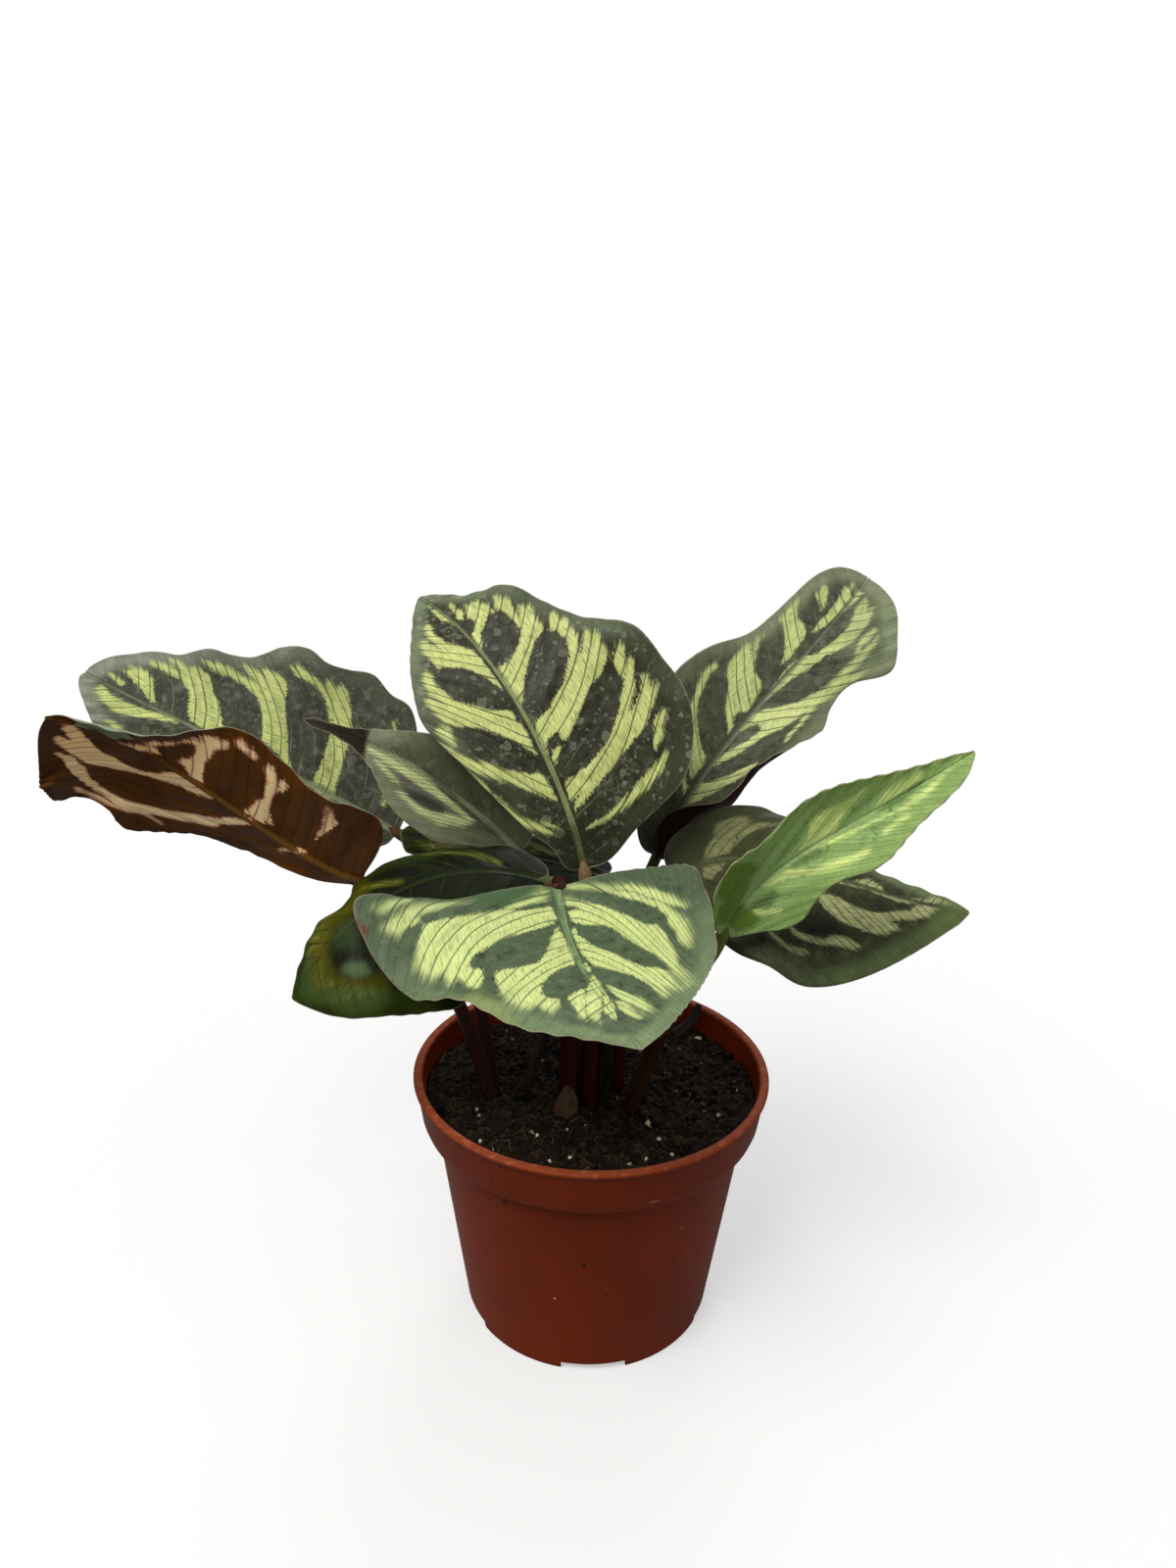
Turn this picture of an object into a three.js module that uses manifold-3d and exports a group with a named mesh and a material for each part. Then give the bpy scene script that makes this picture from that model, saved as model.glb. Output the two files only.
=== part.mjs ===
// A young calathea (peacock plant) in a small terracotta-coloured nursery pot.
// Millimetres, +Z up. The origin is the centre of the pot's foot, on the surface it stands on,
// and -Y is the side the plant shows to the front.

import * as THREE from 'three';
import { mergeVertices } from 'three/addons/utils/BufferGeometryUtils.js';
import Module from 'manifold-3d';

const wasm = await Module();
wasm.setup();

// ---------------------------------------------------------------- driving sizes

const GAP = 0.3;                 // clearance between neighbouring pieces
const BLADE_GAP = 0.65;          // from the end of a stalk to the blade it carries

const POT = {
  height: 46,
  rimRadius: 31,                 // outside of the lip
  lipHeight: 1.2,
  lipOverhang: 0.35,
  collarHeight: 8.4,
  collarFootRadius: 29.5,
  ridgeHeight: 1.3,              // fine step just above the collar's foot
  ridgeDepth: 0.25,
  bodyTopRadius: 27.3,
  footRadius: 22,
  wall: 1.0,
  floor: 1.2,
  padRadius: 13,                 // flat disc the pot stands on
  channelInner: 14.2,            // raised ring with the drainage holes
  channelOuter: 20.2,
  channelLift: 1.8,
  drainRadius: 2,
  drainCircle: 17.2,
  drainCount: 8,
  notchWidth: 11,                // openings in the foot ring
  notchHeight: 1.4,
  notchCount: 5,
  segments: 48,
};

const SOIL = {
  level: 42.6,                   // mean height of the surface above the table
  fallToBack: 1.6,               // the surface sinks toward the back of the pot
  lumps: 0.55,
  rings: 9,
  segments: 40,
};

const LEAF = {
  thickness: 0.7,
  midribExtra: 0.5,              // the midrib stands proud on the underside
  endHalfWidth: 0.8,
  across: [0, 0.07, 0.3, 0.55, 0.8, 1],
};

const STALK_SIDES = 8;
const STALK_FOOT_Z = 31;         // the stalks end this high, inside the soil

const COLOUR = {
  pot: 0x8e3c20,
  soil: 0x241a13,
  stalk: 0x5a241c,
  dry: 0x7a5738,
  scrap: 0x15120f,
  leaf: 0x5f7a4f,
  leafTurned: 0x4a240c,
  leafDark: 0x3c4a2c,
  leafYoung: 0x8db670,
};

// ---------------------------------------------------------------- the leaves
//
// rib:   four Bezier points of the midrib, from the stalk to the tip
// face:  the way the upper side looks, at the stalk and at the tip
// ends:  how blunt the blade is at the stalk and at the tip (smaller is blunter)
// half:  half-widths at even stations along the rib
// lift:  how far the edge is waved up or down at the same stations
// rise:  angle at which the blade leaves the midrib, in degrees
// curl:  how much it turns from the midrib to the edge, in degrees
// back, fwd: how far the lobe at the stalk reaches back and the one at the tip reaches on

const LEAVES = [
  {
    name: 'leaf_centre',
    colour: COLOUR.leaf,
    stations: 21,
    rib: [[-2, 0, 83], [-5, 0.5, 98], [-16.5, 8.5, 119], [-32, 24, 123.5]],
    face: [[0.15, -0.95, 0.3], [0.1, -0.8, 0.6]],
    ends: [0.5, 0.7],
    left: {
      half: [7, 6, 8.5, 10, 11.5, 13, 15, 17, 17.5, 17.5, 16, 13], lift: [0, 0, 0, 0, -0.5, 0, 0],
      rise: [15, 8, 5], curl: [-10, -15, -10],
    },
    right: {
      half: [11, 14.5, 22.5, 25, 25.5, 24.5, 23.5, 19.5, 18, 17.5, 13, 8.5],
      lift: [-0.5, -1, 1, 0, 0, 0, 1.5, -1, -1, 1, -3, -1.5],
      rise: [15, 8, 5], curl: [10, 15, 10],
    },
  },
  {
    name: 'leaf_front',
    colour: COLOUR.leaf,
    stations: 17,
    rib: [[-5.5, -9, 83.5], [-2, -22, 78.5], [-0.5, -34.5, 81.5], [6, -52, 80.5]],
    face: [[0, 0.1, 1], [0, -0.25, 1]],
    ends: [0.4, 0.7],
    left: {
      half: [20, 23.5, 21.5, 20, 19.5, 20.5, 20.5, 20], lift: [-1, 2.5, 0.5, 0.5, 0, 0, -0.5, 0],
      rise: [15, 10, 5], curl: [5, 5, 5], back: 2,
    },
    right: {
      half: [14, 23, 32.5, 31, 27, 24, 22, 17], lift: [-2, 1.5, 6.5, 2.5, -2, 1.5, 0.5, 4],
      rise: [10, 8, 5], curl: [-5, -10, -10], back: 2,
    },
  },
  {
    name: 'leaf_left_back',
    colour: COLOUR.leaf,
    stations: 25,
    rib: [[-37.5, 24, 79.5], [-56, 20.5, 93], [-70.5, 14.5, 101], [-88, 14, 111]],
    face: [[0.1, -0.8, 0.5], [0, -0.75, 0.65]],
    ends: [0.5, 0.5],
    left: {
      half: [9, 10, 10, 10, 11, 12, 12, 5], lift: [0, 0, 0.5, -0.5, 0, -1, -2, -1],
      rise: [5, 5, 5], curl: [-5, -5, -5], fwd: 5,
    },
    right: {
      half: [21, 25.4, 27.2, 24.8, 25, 22.5, 21, 21.8, 20.7, 17.2, 16.4, 16.7, 14.4, 15, 13.7, 13.4],
      lift: [0, 0.5, -1, 1, -0.5, 0.5, -0.5, 0],
      rise: [5, 5, 5], curl: [5, 5, 5],
    },
  },
  {
    name: 'leaf_left_turned',
    colour: COLOUR.leafTurned,
    stations: 25,
    rib: [[-40.5, 4, 78], [-58, 0, 87.5], [-68, -4, 106], [-84.5, -8, 109]],
    face: [[0.2, 0.9, 0.35], [0, 0.75, 0.65]],
    ends: [0.5, 0.5],
    left: {
      half: [25, 19.5, 14.5, 14, 14, 8, 4, 3], lift: [0, -0.5, -1, 0.5, 1, -2.5, -2.5, -1],
      rise: [5, 5, 5], curl: [5, 5, 5], back: 3,
    },
    right: {
      half: [4.5, 6.4, 6, 9.1, 12.8, 13.6, 18.6, 22.7, 21.4, 27.7, 36.6, 35.7, 46.2, 32.4],
      lift: [0.5, -2, 1, -1, -3.5, -2, -6.5, -3],
      rise: [5, 5, 5], curl: [5, 5, 5], fwd: 11,
    },
  },
  {
    name: 'leaf_small',
    colour: COLOUR.leaf,
    stations: 14,
    rib: [[-13.5, 11, 81], [-22.5, 9.5, 92], [-35.5, 5.5, 102.5], [-49, 7, 105.5]],
    face: [[0.1, -0.8, 0.5], [0, -0.75, 0.65]],
    ends: [0.5, 0.7],
    left: {
      half: [3.5, 5, 8.5, 9, 8, 4, 1.5, 1], lift: [0, 0, 0, 0, -0.5, 0.5, 0, 0],
      rise: [5, 5, 5], curl: [5, 5, 5],
    },
    right: {
      half: [9.5, 9.5, 9, 8.5, 6.5, 4, 1.2, 1], lift: [0, 0, 0, 0, 0, -0.5, 0, 0],
      rise: [5, 5, 5], curl: [5, 5, 5],
    },
  },
  {
    name: 'leaf_right_back',
    colour: COLOUR.leaf,
    stations: 25,
    rib: [[11.5, 25.5, 75.5], [19.5, 25.5, 97.5], [37, 33, 110], [49.5, 39.5, 126.5]],
    face: [[0.3, -0.8, 0.5], [0.2, -0.75, 0.65]],
    ends: [0.5, 0.55],
    left: {
      half: [10, 10.5, 11.6, 13.4, 15.8, 15.9, 14.5, 11.6, 11.6, 13.2, 16.3, 20.1],
      lift: [0, 0, 0.5, 1, 0, 0, 0, 0],
      rise: [5, 5, 5], curl: [5, 5, 5], fwd: 2,
    },
    right: {
      half: [20, 19.7, 18.8, 16.8, 15.1, 14.3, 13, 11.3, 12.9, 21.4, 22, 25.9],
      lift: [0, 0, 0, 0, 0.5, 0.5, -1, -1, 0],
      rise: [15, 10, 10, 5, 5, 5, 5, 5],
      curl: [225, 215, 130, 115, 70, -10, -5, 5, 5], fwd: 3,
    },
  },
  {
    name: 'leaf_young',
    colour: COLOUR.leafYoung,
    stations: 14,
    rib: [[20.5, -11, 77], [26.5, -13, 91.5], [34.5, -18, 95.5], [51, -26, 112]],
    face: [[0.2, -0.8, 0.5], [0.2, -0.75, 0.65]],
    ends: [0.5, 0.7],
    left: {
      half: [5.5, 10, 10, 7.5, 9, 9, 6.5, 3], lift: [0, 0, 0, -1, -1, 0.5, 0, 0],
      rise: [30, 30, 20], curl: [40, 40, 20],
    },
    right: {
      half: [4.5, 8, 8.5, 7, 7, 9.5, 8.5, 11], lift: [0, 0.5, 0, 0, 1, 0.5, 0.5, 0],
      rise: [10, 10, 10], curl: [5, 5, 5],
    },
  },
  {
    name: 'leaf_right_low',
    colour: COLOUR.leafDark,
    stations: 17,
    rib: [[13.5, 4, 79.5], [23.5, 3, 90.5], [45.5, -2, 79], [61.5, -3, 78]],
    face: [[0, -0.5, 1], [0.2, -0.4, 1]],
    ends: [0.5, 0.7],
    left: {
      half: [15.5, 14.3, 14.2, 13, 10, 7.5, 7, 7], lift: [1, 0.5, 1.5, 0, -0.5, -1, -0.5, 0],
      rise: [5, 5, 5], curl: [-20, -20, -10], back: 3,
    },
    right: {
      half: [18, 18, 17.5, 18.5, 20.5, 20, 15.5, 8.5], lift: [0, 1, 0, 0.5, -1, -0.5, -0.5, 0.5],
      rise: [-5, -5, -5], curl: [-30, -30, -20],
    },
  },
  {
    name: 'leaf_left_low',
    colour: COLOUR.leafDark,
    stations: 17,
    rib: [[-8, -3.4, 82], [-23, -2.5, 86.5], [-36.5, -17.5, 86], [-45.5, -22, 69.5]],
    face: [[0, -0.4, 1], [-0.4, -0.45, 0.8]],
    ends: [0.5, 0.7],
    left: {
      half: [16.5, 17.2, 18.3, 19.6, 21.2, 23, 25, 25.2, 27.9, 40.9],
      lift: [0, 0, 0, -0.5, -1.5, -4, -7, -6],
      rise: [0, 0, 0], curl: [-20, -20, -20],
    },
    right: {
      half: [9, 9, 9, 8.6, 9.3, 8.2, 9.3, 9.8, 10.5, 8.1, 10.4, 10, 8.5, 7.1],
      lift: [0, 0, -1.5, 0, -0.5, -1, 0.5, 0],
      rise: [0, 0, 0], curl: [-10, -20, -20],
    },
  },
  {
    name: 'leaf_hidden',
    colour: COLOUR.leafDark,
    stations: 12,
    rib: [[1.5, 9, 78], [-8, 20.5, 77], [-26, 19.5, 79], [-35.5, 17.5, 82]],
    face: [[0, -0.4, 0.9], [0, -0.5, 0.85]],
    ends: [0.5, 0.7],
    left: {
      half: [7, 6.3, 4.6, 3.2, 3, 3, 2, 4.9, 8.4, 20], lift: [0, 0, 0, 0, 0.5, 1, -1, 0],
      rise: [0, 0, 0], curl: [0, 0, 0],
    },
    right: {
      half: [6, 5.5, 5.5, 5, 4.5, 4, 5, 6], lift: [0, 0, 0, 0, 0, 0, 0, 0],
      rise: [0, 0, 0], curl: [0, 0, 0],
    },
  },
];

// ---------------------------------------------------------------- the stalks
//
// Each stalk rises from its foot in the soil and bends into the blade it carries.
// up:     how far it heads straight up before it leans
// reach:  how long it has lined up with the blade before it meets it
// radius: at the foot and at the blade

const STALKS = [
  { leaf: 'leaf_centre', foot: [-0.5, -8.3], up: 30, reach: 14, radius: [1.35, 1.1] },
  { leaf: 'leaf_front', foot: [-3.5, -8.4], up: 36, reach: 4, radius: [1.3, 1.05] },
  { leaf: 'leaf_left_low', foot: [-4.5, -5.4], up: 30, reach: 5, radius: [1.2, 1] },
  { leaf: 'leaf_small', foot: [-1.8, -5.2], up: 24, reach: 12, radius: [1.1, 0.9] },
  { leaf: 'leaf_hidden', foot: [0.9, -5.6], up: 24, reach: 8, radius: [1, 0.9] },
  { leaf: 'leaf_left_turned', foot: [-16.3, -5.8], up: 20, reach: 12, radius: [1.3, 1.1] },
  { leaf: 'leaf_left_back', foot: [-16.6, -2.9], up: 20, reach: 14, radius: [1.2, 1] },
  { leaf: 'leaf_right_back', foot: [1.9, -1.6], up: 24, reach: 14, radius: [1.2, 1] },
  { leaf: 'leaf_right_low', foot: [4.6, -2.4], up: 24, reach: 12, radius: [1.2, 1] },
  { leaf: 'leaf_young', foot: [5.6, -7.6], up: 18, reach: 12, radius: [1.4, 1.1] },
];

// Dried leaf sheaths at the foot of the plant: a line up the middle, half-width and
// thickness, and how far the scale cups round the stalk.
const SHEATHS = [
  {
    name: 'dry_sheath_front',
    colour: COLOUR.dry,
    spine: [[-4.1, -11.1, 40], [-4.5, -11.6, 43.5], [-4.2, -11.6, 46], [-3.4, -11.2, 48.4]],
    half: [1.2, 2.1, 1.9, 0.6],
    face: [-0.2, -1, 0.1],
    cup: 50,
  },
  {
    name: 'dry_sheath_back',
    colour: COLOUR.dry,
    spine: [[-11.8, -0.6, 38], [-11.2, -0.9, 44], [-9.2, -1.8, 50], [-6.6, -2.6, 57]],
    half: [0.9, 1.1, 1, 0.5],
    face: [-0.5, -1, 0.2],
    cup: 60,
  },
];

const SCRAP = {
  name: 'dry_scrap',
  colour: COLOUR.scrap,
  spine: [[15.5, 17.2, 42.4], [19, 18.6, 43.4], [20.2, 19.2, 45.6], [20.4, 19.4, 47.6]],
  half: [0.9, 0.9, 0.8, 0.5],
  face: [-0.6, -0.8, 0.4],
  cup: 20,
};

// ---------------------------------------------------------------- helpers

const rad = THREE.MathUtils.degToRad;
const vec = (p) => new THREE.Vector3(...p);

// Smooth curve through evenly spaced values.
function along(values, s) {
  const last = values.length - 1;
  const x = Math.min(Math.max(s, 0), 1) * last;
  const i = Math.min(Math.floor(x), last - 1);
  const f = x - i;
  const b = values[i];
  const c = values[i + 1];
  const a = i > 0 ? values[i - 1] : 2 * b - c;
  const d = i + 2 <= last ? values[i + 2] : 2 * c - b;
  return b + 0.5 * f * (c - a + f * (2 * a - 5 * b + 4 * c - d + f * (3 * (b - c) + d - a)));
}

function toGeometry(points, triangles) {
  const geometry = new THREE.BufferGeometry();
  const flat = new Float32Array(points.length * 3);
  points.forEach((p, i) => p.toArray(flat, i * 3));
  geometry.setAttribute('position', new THREE.BufferAttribute(flat, 3));
  geometry.setIndex(triangles);
  return geometry;
}

function toSolid(geometry) {
  let g = geometry.clone();
  g.deleteAttribute('normal');
  g.deleteAttribute('uv');
  g = mergeVertices(g, 1e-4);
  const triVerts = new Uint32Array(g.index.array);
  const vertProperties = new Float32Array(g.attributes.position.array);
  const mesh = new wasm.Mesh({ numProp: 3, vertProperties, triVerts });
  return new wasm.Manifold(mesh);
}

function fromSolid(solid) {
  const mesh = solid.getMesh();
  const geometry = new THREE.BufferGeometry();
  const position = new THREE.BufferAttribute(new Float32Array(mesh.vertProperties), 3);
  geometry.setAttribute('position', position);
  geometry.setIndex(Array.from(mesh.triVerts));
  return geometry;
}

const part = new THREE.Group();

function add(name, geometry, colour, roughness) {
  geometry.computeVertexNormals();
  const material = new THREE.MeshStandardMaterial({ color: colour, roughness, metalness: 0 });
  const mesh = new THREE.Mesh(geometry, material);
  mesh.name = name;
  part.add(mesh);
}

// ---------------------------------------------------------------- blades

// One point of a blade's middle surface: s runs from stalk to tip, v from edge to edge.
function bladePoint(leaf, curve, s, v) {
  const middle = curve.getPoint(s);
  const tangent = curve.getTangent(s);
  const face = vec(leaf.face[0]).lerp(vec(leaf.face[1]), s);
  const normal = face.sub(tangent.clone().multiplyScalar(face.dot(tangent))).normalize();
  const side = tangent.clone().cross(normal);
  const half = v < 0 ? leaf.left : leaf.right;
  const a = Math.abs(v);

  const envelope = Math.sin(Math.PI * s ** 0.8)
    ** THREE.MathUtils.lerp(leaf.ends[0], leaf.ends[1], s);
  const extra = Math.max(along(half.half, s) - LEAF.endHalfWidth, 0);
  const width = LEAF.endHalfWidth + extra * (Number.isFinite(envelope) ? envelope : 0);

  const rise = rad(along(half.rise, s));
  let curl = rad(along(half.curl, s));
  if (Math.abs(curl) < 1e-3) curl = 1e-3;
  const out = (width / curl) * (Math.sin(rise + curl * a) - Math.sin(rise));
  let up = (width / curl) * (Math.cos(rise) - Math.cos(rise + curl * a));
  up += along(half.lift, s) * a ** 2.5 * Math.max(Math.sin(Math.PI * s), 0) ** 0.6;
  const lobes = (half.fwd ?? 0) * s ** 3 * Math.sqrt(1 - s)
    - (half.back ?? 0) * (1 - s) ** 3 * Math.sqrt(s);

  return middle
    .addScaledVector(side, Math.sign(v) * out)
    .addScaledVector(normal, up)
    .addScaledVector(tangent, 2 * a * a * lobes);
}

function bladeGeometry(leaf) {
  const curve = new THREE.CubicBezierCurve3(...leaf.rib.map(vec));
  const vs = [...LEAF.across.slice(1).reverse().map((x) => -x), ...LEAF.across];
  const rows = leaf.stations;
  const columns = vs.length;
  const middle = [];
  for (let i = 0; i < rows; i += 1) {
    for (let j = 0; j < columns; j += 1) {
      middle.push(bladePoint(leaf, curve, i / (rows - 1), vs[j]));
    }
  }
  const at = (i, j) => middle[
    Math.min(Math.max(i, 0), rows - 1) * columns + Math.min(Math.max(j, 0), columns - 1)
  ];
  const points = [];
  const lower = [];
  for (let i = 0; i < rows; i += 1) {
    for (let j = 0; j < columns; j += 1) {
      const lengthwise = at(i + 1, j).clone().sub(at(i - 1, j));
      const crosswise = at(i, j + 1).clone().sub(at(i, j - 1));
      const normal = crosswise.cross(lengthwise).normalize();
      const rib = vs[j] === 0 ? LEAF.midribExtra * (1 - 0.8 * (i / (rows - 1))) : 0;
      points.push(at(i, j).clone().addScaledVector(normal, LEAF.thickness / 2));
      lower.push(at(i, j).clone().addScaledVector(normal, -LEAF.thickness / 2 - rib));
    }
  }
  const under = points.length;
  points.push(...lower);
  const triangles = [];
  for (let i = 0; i + 1 < rows; i += 1) {
    for (let j = 0; j + 1 < columns; j += 1) {
      const a = i * columns + j;
      const b = a + 1;
      const c = a + columns;
      const d = c + 1;
      triangles.push(a, b, d, a, d, c);
      triangles.push(under + a, under + d, under + b, under + a, under + c, under + d);
    }
  }
  const ring = [];
  for (let j = 0; j < columns; j += 1) ring.push(j);
  for (let i = 1; i < rows; i += 1) ring.push(i * columns + columns - 1);
  for (let j = columns - 2; j >= 0; j -= 1) ring.push((rows - 1) * columns + j);
  for (let i = rows - 2; i > 0; i -= 1) ring.push(i * columns);
  ring.forEach((p, k) => {
    const q = ring[(k + 1) % ring.length];
    triangles.push(p, under + p, under + q, p, under + q, q);
  });
  return toGeometry(points, triangles);
}

// ---------------------------------------------------------------- stalks

// A tapered round rod along a curve, with flat ends.
function rodGeometry(curve, steps, sides, radiusAt) {
  const frames = curve.computeFrenetFrames(steps, false);
  const points = [];
  const triangles = [];
  for (let i = 0; i <= steps; i += 1) {
    const t = i / steps;
    const centre = curve.getPointAt(t);
    for (let k = 0; k < sides; k += 1) {
      const angle = (2 * Math.PI * k) / sides;
      points.push(centre.clone()
        .addScaledVector(frames.normals[i], radiusAt(t) * Math.cos(angle))
        .addScaledVector(frames.binormals[i], radiusAt(t) * Math.sin(angle)));
    }
  }
  for (let i = 0; i < steps; i += 1) {
    for (let k = 0; k < sides; k += 1) {
      const a = i * sides + k;
      const b = i * sides + ((k + 1) % sides);
      triangles.push(a, b, b + sides, a, b + sides, a + sides);
    }
  }
  const start = points.push(curve.getPointAt(0)) - 1;
  const end = points.push(curve.getPointAt(1)) - 1;
  const top = steps * sides;
  for (let k = 0; k < sides; k += 1) {
    const next = (k + 1) % sides;
    triangles.push(start, next, k);
    triangles.push(end, top + k, top + next);
  }
  return toGeometry(points, triangles);
}

// drop lets the hole for a stalk reach a little deeper than the stalk itself.
function stalkCurve(stalk, drop) {
  const leaf = LEAVES.find((item) => item.name === stalk.leaf);
  const blade = new THREE.CubicBezierCurve3(...leaf.rib.map(vec));
  const heading = blade.getTangent(0);
  const end = vec(leaf.rib[0]).addScaledVector(heading, -BLADE_GAP);
  const foot = vec([...stalk.foot, STALK_FOOT_Z - drop]);
  return new THREE.CubicBezierCurve3(
    foot,
    foot.clone().add(new THREE.Vector3(0, 0, stalk.up)),
    end.clone().addScaledVector(heading, -stalk.reach),
    end,
  );
}

function stalkGeometry(stalk, extra) {
  const curve = stalkCurve(stalk, extra);
  const [low, high] = stalk.radius;
  const radiusAt = (t) => THREE.MathUtils.lerp(low, high, t) + extra;
  return rodGeometry(curve, 12, STALK_SIDES, radiusAt);
}

// ---------------------------------------------------------------- dried scales

// A thin cupped strip along a spine.
function stripGeometry(strip, extra) {
  const spine = strip.spine.map(vec);
  const downward = spine[0].clone().sub(spine[1]).normalize();
  spine[0].addScaledVector(downward, extra);
  const curve = new THREE.CubicBezierCurve3(...spine);
  const rows = 8;
  const vs = [-1, -0.5, 0, 0.5, 1];
  const thickness = 0.6 + 2 * extra;
  const upper = [];
  const lower = [];
  for (let i = 0; i < rows; i += 1) {
    const s = i / (rows - 1);
    const middle = curve.getPoint(s);
    const tangent = curve.getTangent(s);
    const face = vec(strip.face);
    const normal = face.sub(tangent.clone().multiplyScalar(face.dot(tangent))).normalize();
    const side = tangent.clone().cross(normal);
    const half = along(strip.half, s) + extra;
    for (const v of vs) {
      const turn = rad(strip.cup) * v;
      const radius = half / Math.max(rad(strip.cup), 1e-3);
      const out = normal.clone().multiplyScalar(Math.cos(turn))
        .addScaledVector(side, Math.sin(turn));
      const centre = middle.clone().addScaledVector(normal, -radius);
      upper.push(centre.clone().addScaledVector(out, radius + thickness / 2));
      lower.push(centre.clone().addScaledVector(out, radius - thickness / 2));
    }
  }
  const columns = vs.length;
  const points = [...upper, ...lower];
  const under = upper.length;
  const triangles = [];
  for (let i = 0; i + 1 < rows; i += 1) {
    for (let j = 0; j + 1 < columns; j += 1) {
      const a = i * columns + j;
      const c = a + columns;
      triangles.push(a, a + 1, c + 1, a, c + 1, c);
      triangles.push(under + a, under + c + 1, under + a + 1, under + a, under + c, under + c + 1);
    }
  }
  const ring = [];
  for (let j = 0; j < columns; j += 1) ring.push(j);
  for (let i = 1; i < rows; i += 1) ring.push(i * columns + columns - 1);
  for (let j = columns - 2; j >= 0; j -= 1) ring.push((rows - 1) * columns + j);
  for (let i = rows - 2; i > 0; i -= 1) ring.push(i * columns);
  ring.forEach((p, k) => {
    const q = ring[(k + 1) % ring.length];
    triangles.push(p, under + p, under + q, p, under + q, q);
  });
  return toGeometry(points, triangles);
}

// ---------------------------------------------------------------- pot

function lathe(profile, segments) {
  const points = profile.map(([r, z]) => new THREE.Vector2(r, z));
  const geometry = new THREE.LatheGeometry(points, segments);
  geometry.rotateX(Math.PI / 2);
  return geometry;
}

function potGeometry() {
  const p = POT;
  const collarFoot = p.height - p.collarHeight;
  const floorTop = p.channelLift + p.floor;
  const bodyAt = (z) => p.footRadius + ((p.bodyTopRadius - p.footRadius) * z) / collarFoot;
  const collarAt = (z) => THREE.MathUtils.lerp(
    p.collarFootRadius,
    p.rimRadius - p.lipOverhang,
    (z - collarFoot) / p.collarHeight,
  );
  const ridgeTop = collarFoot + p.ridgeHeight;
  const lipFoot = p.height - p.lipHeight;
  const profile = [
    [0, 0],
    [p.padRadius, 0],
    [p.channelInner, p.channelLift],
    [p.channelOuter, p.channelLift],
    [p.channelOuter + 0.6, 0],
    [p.footRadius, 0],
    [bodyAt(collarFoot - 1.2), collarFoot - 1.2],
    [bodyAt(collarFoot) + 0.3, collarFoot - 0.3],
    [p.collarFootRadius - p.ridgeDepth - 0.3, collarFoot],
    [collarAt(collarFoot) - p.ridgeDepth, collarFoot + 0.3],
    [collarAt(ridgeTop) - p.ridgeDepth, ridgeTop - 0.15],
    [collarAt(ridgeTop), ridgeTop + 0.15],
    [collarAt(lipFoot), lipFoot],
    [p.rimRadius, lipFoot + 0.35],
    [p.rimRadius, p.height - 0.25],
    [p.rimRadius - 0.3, p.height],
    [p.rimRadius - 1.3, p.height],
    [p.rimRadius - 1.6, p.height - 0.35],
    [collarAt(ridgeTop) - p.wall - 0.2, collarFoot + 1.4],
    [bodyAt(collarFoot) - p.wall, collarFoot - 0.6],
    [bodyAt(floorTop + 0.8) - p.wall, floorTop + 0.8],
    [bodyAt(floorTop) - p.wall - 0.8, floorTop],
    [p.channelInner - 0.6, floorTop],
    [p.padRadius - 0.6, p.floor],
    [0, p.floor],
  ];
  let solid = toSolid(lathe(profile, p.segments));
  for (let k = 0; k < p.drainCount; k += 1) {
    const angle = (2 * Math.PI * k) / p.drainCount;
    const hole = new THREE.CylinderGeometry(p.drainRadius, p.drainRadius, 4, 16);
    hole.rotateX(Math.PI / 2);
    hole.translate(
      p.drainCircle * Math.cos(angle),
      p.drainCircle * Math.sin(angle),
      p.channelLift + p.floor / 2,
    );
    solid = solid.subtract(toSolid(hole));
  }
  for (let k = 0; k < p.notchCount; k += 1) {
    const notch = new THREE.BoxGeometry(6, p.notchWidth, 2 * p.notchHeight);
    notch.translate(p.footRadius, 0, 0);
    notch.rotateZ(rad(-90 + 4) + (2 * Math.PI * k) / p.notchCount);
    solid = solid.subtract(toSolid(notch));
  }
  return fromSolid(solid);
}

// ---------------------------------------------------------------- soil

// Uneven surface: long swells with smaller lumps on them.
function soilHeight(x, y) {
  const swell = Math.sin(x * 0.21 + 0.8) * Math.cos(y * 0.17 - 0.4);
  const lumps = Math.sin(x * 0.83 + y * 0.31) * Math.sin(y * 0.71 - x * 0.23 + 1.1);
  const crumbs = Math.sin(x * 1.9 - y * 1.3 + 2) * Math.sin(y * 1.7 + x * 0.9);
  const slope = -SOIL.fallToBack * (y / POT.rimRadius);
  return SOIL.level + slope + SOIL.lumps * (0.9 * swell + 0.7 * lumps + 0.45 * crumbs);
}

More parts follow.
